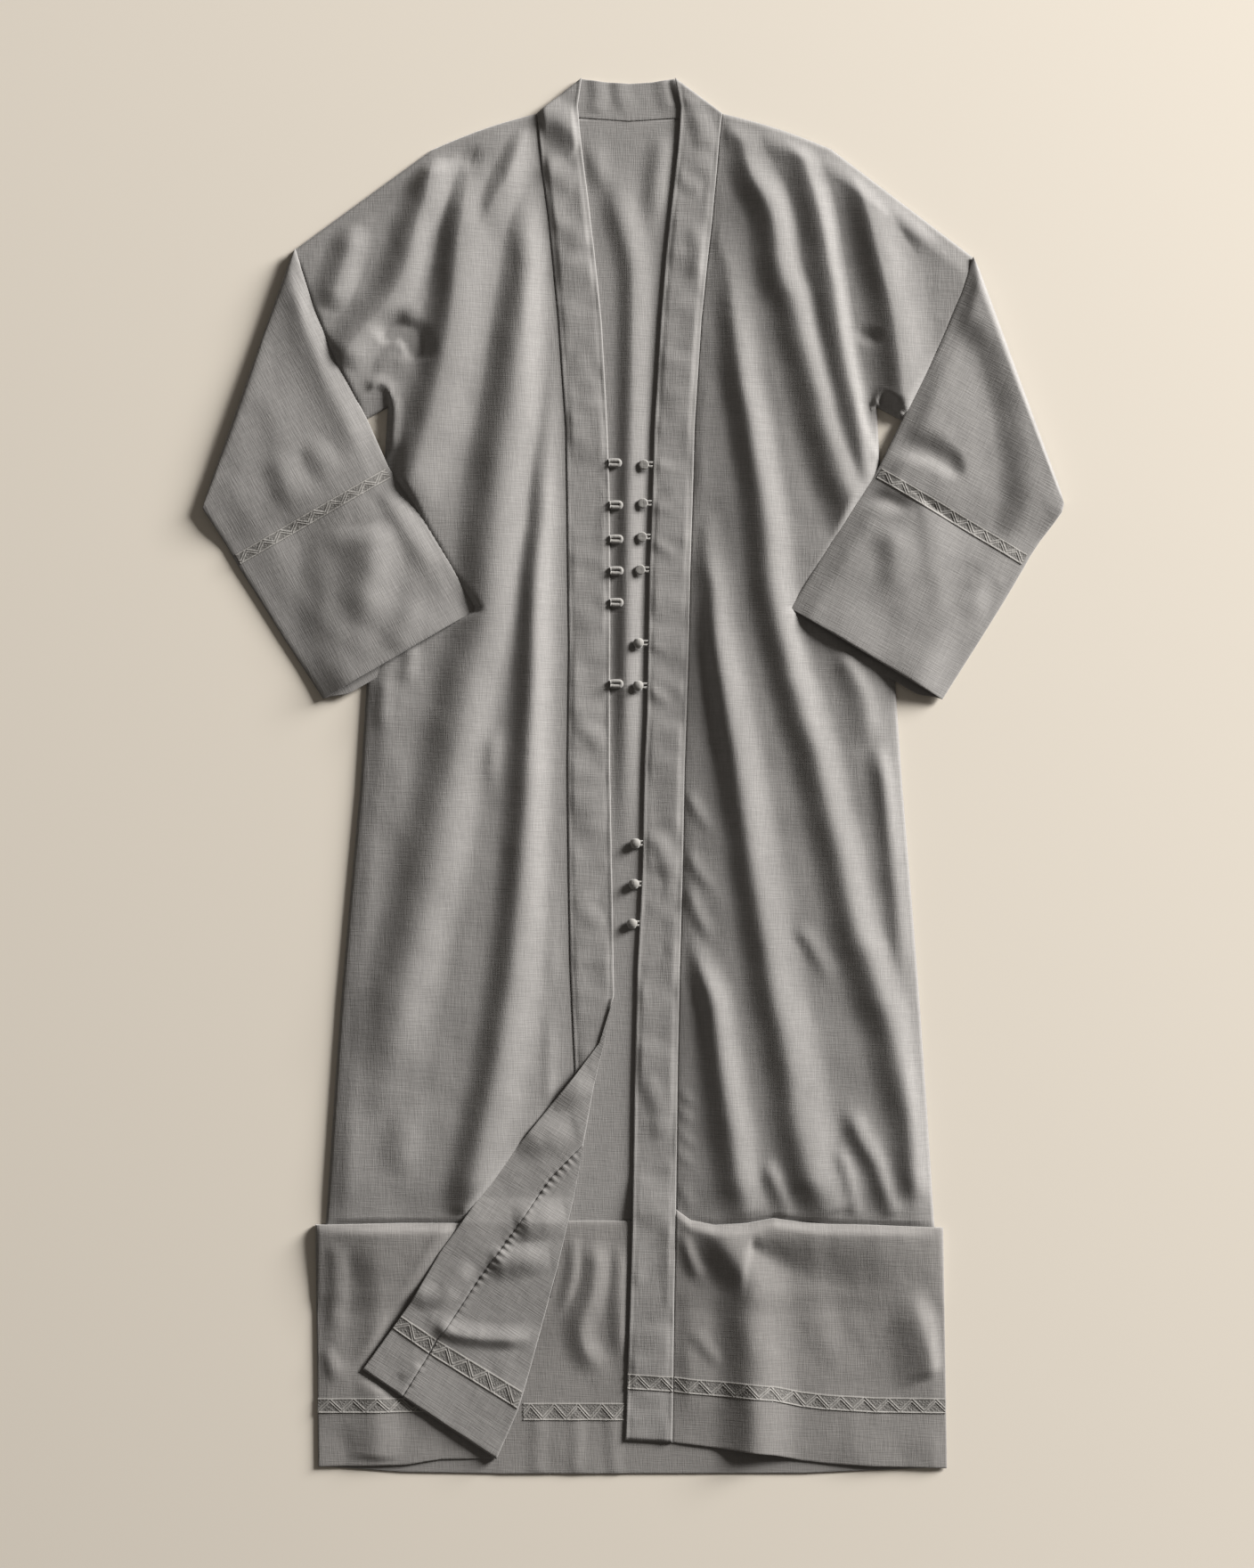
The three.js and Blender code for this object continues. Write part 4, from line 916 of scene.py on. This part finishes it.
def back_hem():
    """A strip along the hem, and a tongue up into the opening between the fronts."""
    top_level = TUCK_BOTTOM - 8
    right_end = 12
    u = np.concatenate([np.linspace(-317, -150, 34), np.linspace(-147, right_end, 62),
                        np.linspace(16, 313, 60)])
    rows = []
    for t in steps(176, 3.0):
        rows.append(np.column_stack([u, lerp(top_level, look_up(BACK_LINES, 3, u), t)]))
    low = np.array(rows)
    first = look_up(TURN, 1, top_level) - 1.6
    inside = np.where((u >= first) & (u <= right_end))[0]
    a, b = inside[0], inside[-1] + 1
    tongue = []
    for t in steps(78, 3.0):
        y = lerp(-449, top_level, t)
        start = look_up(TURN, 1, y) - 1.6
        x = lerp(start, right_end, (u[a:b] - u[a]) / (right_end - u[a]))
        tongue.append(np.column_stack([x, np.full(b - a, y)]))
    tongue[-1][:, 0] = u[a:b]
    tongue = np.array(tongue)
    return shell("cloth_hem_back", [low, tongue], back_hem_bottom, back_hem_top, HEM_PAINTED_SHADE_LINEN,
                 nodes=["hem_back"], edge=0.2)


# ---- Turned corner ----
def corner_line(columns):
    """A long line down the turned corner with a point every 2 mm or so, and the lengths along it."""
    table_rows = np.vstack([[CORNER_TIP], CORNER[:, columns]])
    run = np.concatenate([[0], np.cumsum(CORNER_RUN)])
    s = np.concatenate([np.arange(0, run[-1] - 1, 1.8), [run[-1]]])
    return np.column_stack([np.interp(s, run, table_rows[:, i]) for i in (0, 1)]), s, run


def corner():
    free, s, run = corner_line([0, 1])
    seam, _, _ = corner_line([2, 3])
    turn, _, _ = corner_line([4, 5])
    band_grid = between(free, seam, steps(46, 2.2, (0.6, 1.8)))
    start = np.where(s >= run[CORNER_SEAM_ROW + 1])[0][0]
    panel_grid = between(seam[start:] + (0.15, -0.15), turn[start:], steps(100, 2.6, (0.6, 1.8)))

    def top(x, y):
        groove = 0.5 * np.exp(-nearest(CORNER_SEAM, x, y)[0]**2)
        return corner_bottom(x, y) + CLOTH - groove

    def bottom(x, y):
        """The crease's side goes down to what the corner was turned back from."""
        crease = np.abs(x - look_up(TURN, 1, y))
        down = 1 - smooth(0.2, 2.2, crease)
        foot = np.interp(y, [-534, -524, -452, -446], [1.9, 4.5, 4.5, 1.9])
        return lerp(corner_bottom(x, y), foot, down * smooth(-222, -260, y))
    band_cloth = shell("cloth_corner_band", [band_grid], bottom, top, CORNER_LINEN, nodes=["corner_band"])
    panel_cloth = shell("cloth_corner_panel", [panel_grid], bottom, top, CORNER_LINEN,
                        nodes=["corner_panel"])
    return band_cloth, panel_cloth, top


# ---- Folded forearms ----
def sleeve_rest(along, across):
    past_upper = along - 0.5 * (1 - across)
    past_body = across - 1.42 * (along - 0.5)
    return lerp(4.6, 0.6, smooth(0.12, 0.4, np.minimum(past_upper, past_body)))


ROUND = 6.5  # width over which the two layers meet at an edge
EDGE_HALF = 1.6
MOUTH = 2.6  # how far the upper layer lifts at the open cuff
PUFF = {  # folds, seed, loft, how far it takes to rise from the inner and from the outer edge
    "left": (ARM_LEFT_FOLDS, 31, 2.2, 26, 44),
    "right": (ARM_RIGHT_FOLDS, 37, 4.8, 26, 40),
}
ARM_LENGTH = 300


def forearm_point(side, along, across, layer):
    """A point of a forearm: along from 0 at the elbow fold to 1 at the cuff, across from the inner
    edge. layer is 1 on the upper cloth's outside and 0 on the lower one's."""
    rows = FOREARM[side]
    k = along * (len(rows) - 1)
    stations = np.arange(len(rows))
    ix, iy, ox, oy = (np.interp(k, stations, rows[:, i]) for i in range(4))
    width = np.hypot(ox - ix, oy - iy)
    x, y = lerp(ix, ox, across), lerp(iy, oy, across)
    from_edge = np.minimum(across, 1 - across) * width
    arc = rounded(from_edge, ROUND)
    folds, seed, loft, near, far = PUFF[side]
    puff = np.maximum(fold_height(folds, x, y) + loft + crumple(x, y, seed, 1.0, 0.16), 0)
    inner = smooth(0, near, across * width) * smooth(0, far, (1 - across) * width)
    inner = inner * rounded(along * ARM_LENGTH, 12)
    rest = sleeve_rest(along, across)
    middle = rest + SLEEVE_THICK / 2
    mouth = smooth(0, 0.3, across) * smooth(0, 0.16, 1 - across) * smooth(0.92, 1.0, along)
    if layer:
        curl = 0.8 * (1 - rounded((1 - along) * ARM_LENGTH, 1.6))
        z = middle + EDGE_HALF * arc + puff * inner + (MOUTH - curl) * mouth
    else:
        z = middle - SLEEVE_THICK / 2 * arc
        down = np.stack([-(oy - iy), ox - ix], -1) / width[..., None]
        down *= np.where(down[..., 1] > 0, -1, 1)[..., None]
        step = CUFF_STEP * mouth
        x, y = x + down[..., 0] * step, y + down[..., 1] * step
    return np.stack([x, y, z], -1)


def forearm(side):
    width = 190
    rim = (0.25, 0.7, 1.4, 2.5, 4.2, 6.5)
    u = steps(width, 3.2, rim)
    v = steps(ARM_LENGTH, 3.0, (0.4, 1.0, 1.8, 3.0, 5.0))
    along, across = np.meshgrid(v, u, indexing="ij")
    top = forearm_point(side, along, across, 1)
    low = forearm_point(side, along, across, 0)
    inset = (across - 0.5) * (-2 * CLOTH / width)
    top_in = forearm_point(side, along, across + inset, 1) - (0, 0, CLOTH)
    low_in = forearm_point(side, along, across + inset, 0) + (0, 0, CLOTH)
    ends = (smooth(0, 0.06, u) * smooth(0, 0.06, 1 - u))[:, None]
    outward = np.array([1.2 * SIGN[side], 0.4, -0.8]) * ends
    top[0] += outward
    low[0] += outward
    rings = []
    for upper, lower in ((top, low), (top_in, low_in)):
        rings.append(np.concatenate([upper, lower[:, -2:0:-1]], axis=1))
    rows, size = rings[0].shape[:2]
    count = rows * size
    vertices = np.vstack([r.reshape(-1, 3) for r in rings])
    faces = []
    for layer in (0, 1):
        for i in range(rows - 1):
            for j in range(size):
                a = layer * count + i * size + j
                b = layer * count + i * size + (j + 1) % size
                quad = [a, b, b + size, a + size]
                faces.append(quad[::-1] if layer else quad)
    last = (rows - 1) * size
    for j in range(size):
        k = (j + 1) % size
        faces.append([last + j, last + k, count + last + k, count + last + j])
    n = len(u)
    partner = lambda j: j if j in (0, n - 1) else size - j
    for layer in (0, 1):
        base = layer * count
        for j in range(n - 1):
            quad = [base + j, base + partner(j), base + partner(j + 1), base + j + 1]
            face = list(dict.fromkeys(quad))
            faces.append(face[::-1] if layer else face)
    if side == "left":
        faces = [f[::-1] for f in faces]
    return collect(f"cloth_sleeve_{side}", vertices, faces, SLEEVE_LINEN[side],
                   [f"sleeve_{side}"])


# ---- Woven borders ----
def border_weave(run, across, width, period=24.0):
    """Height of the weave and where its light threads are: two edge cords, a double zigzag, stitches."""
    v = across * width
    edge = np.exp(-((v - 1.0) / 0.7)**2) + np.exp(-((width - 1.0 - v) / 0.7)**2)
    half = period / 2
    phase = np.abs(((run / half) % 2) - 1)
    zig = 2.2 + phase * (width - 4.4)
    slope = (width - 4.4) / half
    off = (v - zig) / math.sqrt(1 + slope**2)
    between_cords = smooth(1.2, 2.0, v) * smooth(1.2, 2.0, width - v)
    lines = (np.exp(-((off - 1.1) / 0.55)**2) + np.exp(-((off + 1.1) / 0.55)**2)) * between_cords
    inside = smooth(2.4, 3.0, np.abs(off)) * smooth(2.0, 2.8, v) * smooth(2.0, 2.8, width - v)
    tilt = np.where(off > 0, 1, -1) * np.where(((run / half) % 2) < 1, 1, -1)
    across_line = (run * 0.75 * tilt + v) / 2.9
    along_line = (run - v * tilt) / 4.4
    stitch = (0.5 + 0.5 * np.sin(across_line * 2 * math.pi)) * (0.5 + 0.5 * np.sin(along_line * 2 * math.pi))
    fill = smooth(0.35, 0.75, stitch) * inside
    height = 0.25 + 0.6 * edge + 0.65 * lines + 0.4 * fill
    return height, np.maximum(edge, lines) + 0.75 * fill


def strip(name, a, b, top, node, width, phase=0.0):
    """A border between two lines of plan points, on a host's upper face."""
    run = np.concatenate([[0], np.cumsum(np.hypot(*np.diff((a + b) / 2, axis=0).T))]) + phase
    v = np.linspace(0, 1, int(width / 0.6) + 1)
    plan = between(a, b, v)
    x, y = plan[..., 0], plan[..., 1]
    height, light = border_weave(run[:, None], v[None, :], width)
    z = top(x, y) + height
    skirt = np.concatenate([
        np.dstack([x[:, :1], y[:, :1], z[:, :1] - 0.9]), np.dstack([x, y, z]),
        np.dstack([x[:, -1:], y[:, -1:], z[:, -1:] - 0.9])], axis=1)
    return woven(name, skirt, np.pad(light, ((0, 0), (1, 1))), node)


def woven(name, grid, light, node):
    """A border's surface, with light thread where the weave is raised."""
    rows, columns = grid.shape[:2]
    points = grid.reshape(-1, 3)
    quads = grid_quads(np.arange(rows * columns).reshape(rows, columns))
    if np.sum(turning(points[quads])) < 0:
        quads = quads[:, ::-1]
    obj = collect(name, points, quads.tolist(), BORDER_CLOTH, [node])
    obj.data.materials.append(BORDER_THREAD)
    raised = light.reshape(-1)[quads].mean(axis=1) > 0.45
    obj.data.polygons.foreach_set("material_index", raised.astype(np.int32))
    return obj


def hem_border(name, lines, x0, x1, width, top, phase=0.0):
    x = np.linspace(x0, x1, int(abs(x1 - x0) / 0.7))
    upper = np.column_stack([x, look_up(lines, 2, x)])
    return strip(name, upper, upper - (0, width), top, name.replace("trim_", "border_"), width, phase)


def borders(corner_top):
    made = {}
    left_end = look_up(TURN, 1, -634) - 3
    made["left"] = hem_border("trim_hem_left", LEFT_LINES, -318.6, left_end, 15.5, hem_top("left"))
    made["right"] = hem_border("trim_hem_right", RIGHT_LINES, 41.5, 315, 16, hem_top("right"), 11)
    made["back"] = hem_border("trim_hem_back", BACK_LINES, -111, -9.5, 18, back_hem_top, 5)
    t = np.linspace(0, 1, 66)[:, None]
    upper = lerp(np.array([-5.6, -603.0]), np.array([40.2, -606.0]), t)
    lower = lerp(np.array([-6.0, -619.0]), np.array([40.1, -622.0]), t)
    made["band"] = strip("trim_band", upper, lower, band_top("right"), "border_band", 16, 2)
    rows = CORNER[7:9]
    for name, first, count in (("corner_band", 0, 60), ("corner_panel", 2, 150)):
        t = np.linspace(0.01, 0.985, count)[:, None]
        upper, lower = (lerp(r[first:first + 2], r[first + 2:first + 4], t) for r in rows)
        made[name] = strip(f"trim_{name}", upper, lower, corner_top, f"border_{name}", 16)
    u = np.linspace(0.02, 0.98, 260)
    v = np.linspace(4 / 8, 5 / 8, 21)
    for side in SIDES:
        along, across = np.meshgrid(v, u, indexing="xy")
        points = forearm_point(side, along, across, 1)
        height, light = border_weave((u * 185)[:, None], np.linspace(0, 1, 21)[None, :], 12, 20)
        points[..., 2] += 0.15 + 0.8 * height
        made[f"sleeve_{side}"] = woven(f"trim_sleeve_{side}", points, light, f"border_sleeve_{side}")
    return made


# ---- Buttons and loops ----
LOOP_ROWS = [316, 273.5, 239, 207, 175, 93]
BUTTON_ROWS = [(10.8, 314), (9.9, 275), (9, 241), (7.2, 208), (5.4, 134), (5, 91), (2.2, -68),
               (0.8, -109), (-1.2, -149)]
FLAT_BUTTONS = 4  # the upper ones are discs and the others balls
BUTTON_RADIUS = 5.3
SHANK_RADIUS = 1.25


def tube(path, radius, sides=12):
    """Vertices and faces of a round cord along a line of points, with flat ends."""
    path = np.array(path, float)
    tangents = np.gradient(path, axis=0)
    tangents /= np.linalg.norm(tangents, axis=1)[:, None]
    up = np.array([0, 0, 1.0])
    vertices, faces = [], []
    for i, (p, t) in enumerate(zip(path, tangents)):
        s = np.cross(t, up)
        s /= np.linalg.norm(s)
        n = np.cross(s, t)
        for j in range(sides):
            a = 2 * math.pi * j / sides
            vertices.append(p + radius * (math.cos(a) * s + math.sin(a) * n))
    for i in range(len(path) - 1):
        for j in range(sides):
            k = (j + 1) % sides
            faces.append([i * sides + j, i * sides + k, (i + 1) * sides + k, (i + 1) * sides + j])
    faces.append(list(range(sides)))
    faces.append([(len(path) - 1) * sides + j for j in range(sides)][::-1])
    return vertices, [f[::-1] for f in faces]


def loop(i, y):
    """A cord that leaves the left band's edge, bends round and returns."""
    length, half, radius = 13.2, 2.4, 2.15
    start = float(look_up(FREE_EDGE, 1, y)) + GAP
    bend = start + length - half - radius
    base = float(back_bottom(np.array([start + 8]), np.array([y]))[0]) + CLOTH
    z = base + radius + 0.1
    points = [(start, y + 0.8 * half, z)]
    points += [(lerp(start, bend, t), y + half, z) for t in (0.4, 0.8)]
    for a in np.linspace(75, -75, 7):
        r = math.radians(a)
        points.append((bend + half * math.cos(r), y + half * math.sin(r), z))
    points += [(lerp(bend, start, t), y - half, z) for t in (0.2, 0.6)]
    points.append((start, y - 0.8 * half, z))
    vertices, faces = tube(spline(points, 3), radius)
    collect(f"cord_loop_{i + 1}", vertices, faces, CORD, [f"loop_{i + 1}"])


def button(i, x, y):
    """A small ball or disc covered in cloth, held by a short double cord."""
    flat = i < FLAT_BUTTONS
    base = float(np.max(back_bottom(np.array([x - 4, x, x + 4]), np.array([y, y, y])))) + CLOTH
    rings, sides = 14, 24
    vertices = [(0, 0, -1.0)]
    tilt = math.radians(-4 if flat else -8)
    for r in range(1, rings):
        a = math.pi * r / rings
        rad, h = math.sin(a), -math.cos(a)
        for s in range(sides):
            b = 2 * math.pi * s / sides
            fold = 1 + (0.0 if flat else 0.05 * math.sin(3 * b + 4 * a))
            vertices.append((rad * fold * math.cos(b), rad * fold * math.sin(b), h))
    vertices.append((0, 0, 1.0))
    v = np.array(vertices)
    if flat:
        v[:, 2] = np.clip(v[:, 2], -0.5, 0.5)
        v[-1, 2] = 0.44
    v *= (BUTTON_RADIUS, BUTTON_RADIUS, 3.4 if flat else 3.2)
    rot = np.array([[math.cos(tilt), 0, math.sin(tilt)], [0, 1, 0],
                    [-math.sin(tilt), 0, math.cos(tilt)]])
    v = v @ rot.T
    v += (x, y, base + 0.3 - v[:, 2].min())
    faces = []
    ring = lambda r, s: 1 + (r - 1) * sides + s % sides
    for s in range(sides):
        faces.append([0, ring(1, s + 1), ring(1, s)])
        for r in range(1, rings - 1):
            faces.append([ring(r, s), ring(r, s + 1), ring(r + 1, s + 1), ring(r + 1, s)])
        faces.append([ring(rings - 1, s), ring(rings - 1, s + 1), len(vertices) - 1])
    collect(f"covered_button_{i + 1}", v, faces, CORD, [f"button_{i + 1}"])
    edge = float(look_up(FREE_EDGE, 2, y))
    z = base + 2.2
    parts, all_faces = [], []
    for side in (-1, 1):
        path = [(x + 3.2, y + 1.3 * side, z + 0.4), (lerp(x, edge, 0.6), y + 2.0 * side, z + 0.6),
                (edge + 0.4, y + 1.8 * side, z + 0.6)]
        tube_vertices, tube_faces = tube(spline(path, 4), SHANK_RADIUS, 10)
        all_faces += [[k + len(parts) for k in f] for f in tube_faces]
        parts += list(tube_vertices)
    collect(f"cord_shank_{i + 1}", parts, all_faces, CORD, [f"shank_{i + 1}"])


# ---- The whole garment ----
back_cloth = back()
fronts = {side: front(side) for side in SIDES}
bands = {"back": back_band(), "left": band("left", band_levels(-380)), "right": right_band()}
hems = {side: hem(side) for side in SIDES}
hems["back"] = back_hem()
corner_band_cloth, corner_panel_cloth, corner_top = corner()
sleeves = {side: forearm(side) for side in SIDES}
trims = borders(corner_top)
for i, y in enumerate(LOOP_ROWS):
    loop(i, y)
for i, (x, y) in enumerate(BUTTON_ROWS):
    button(i, x, y)
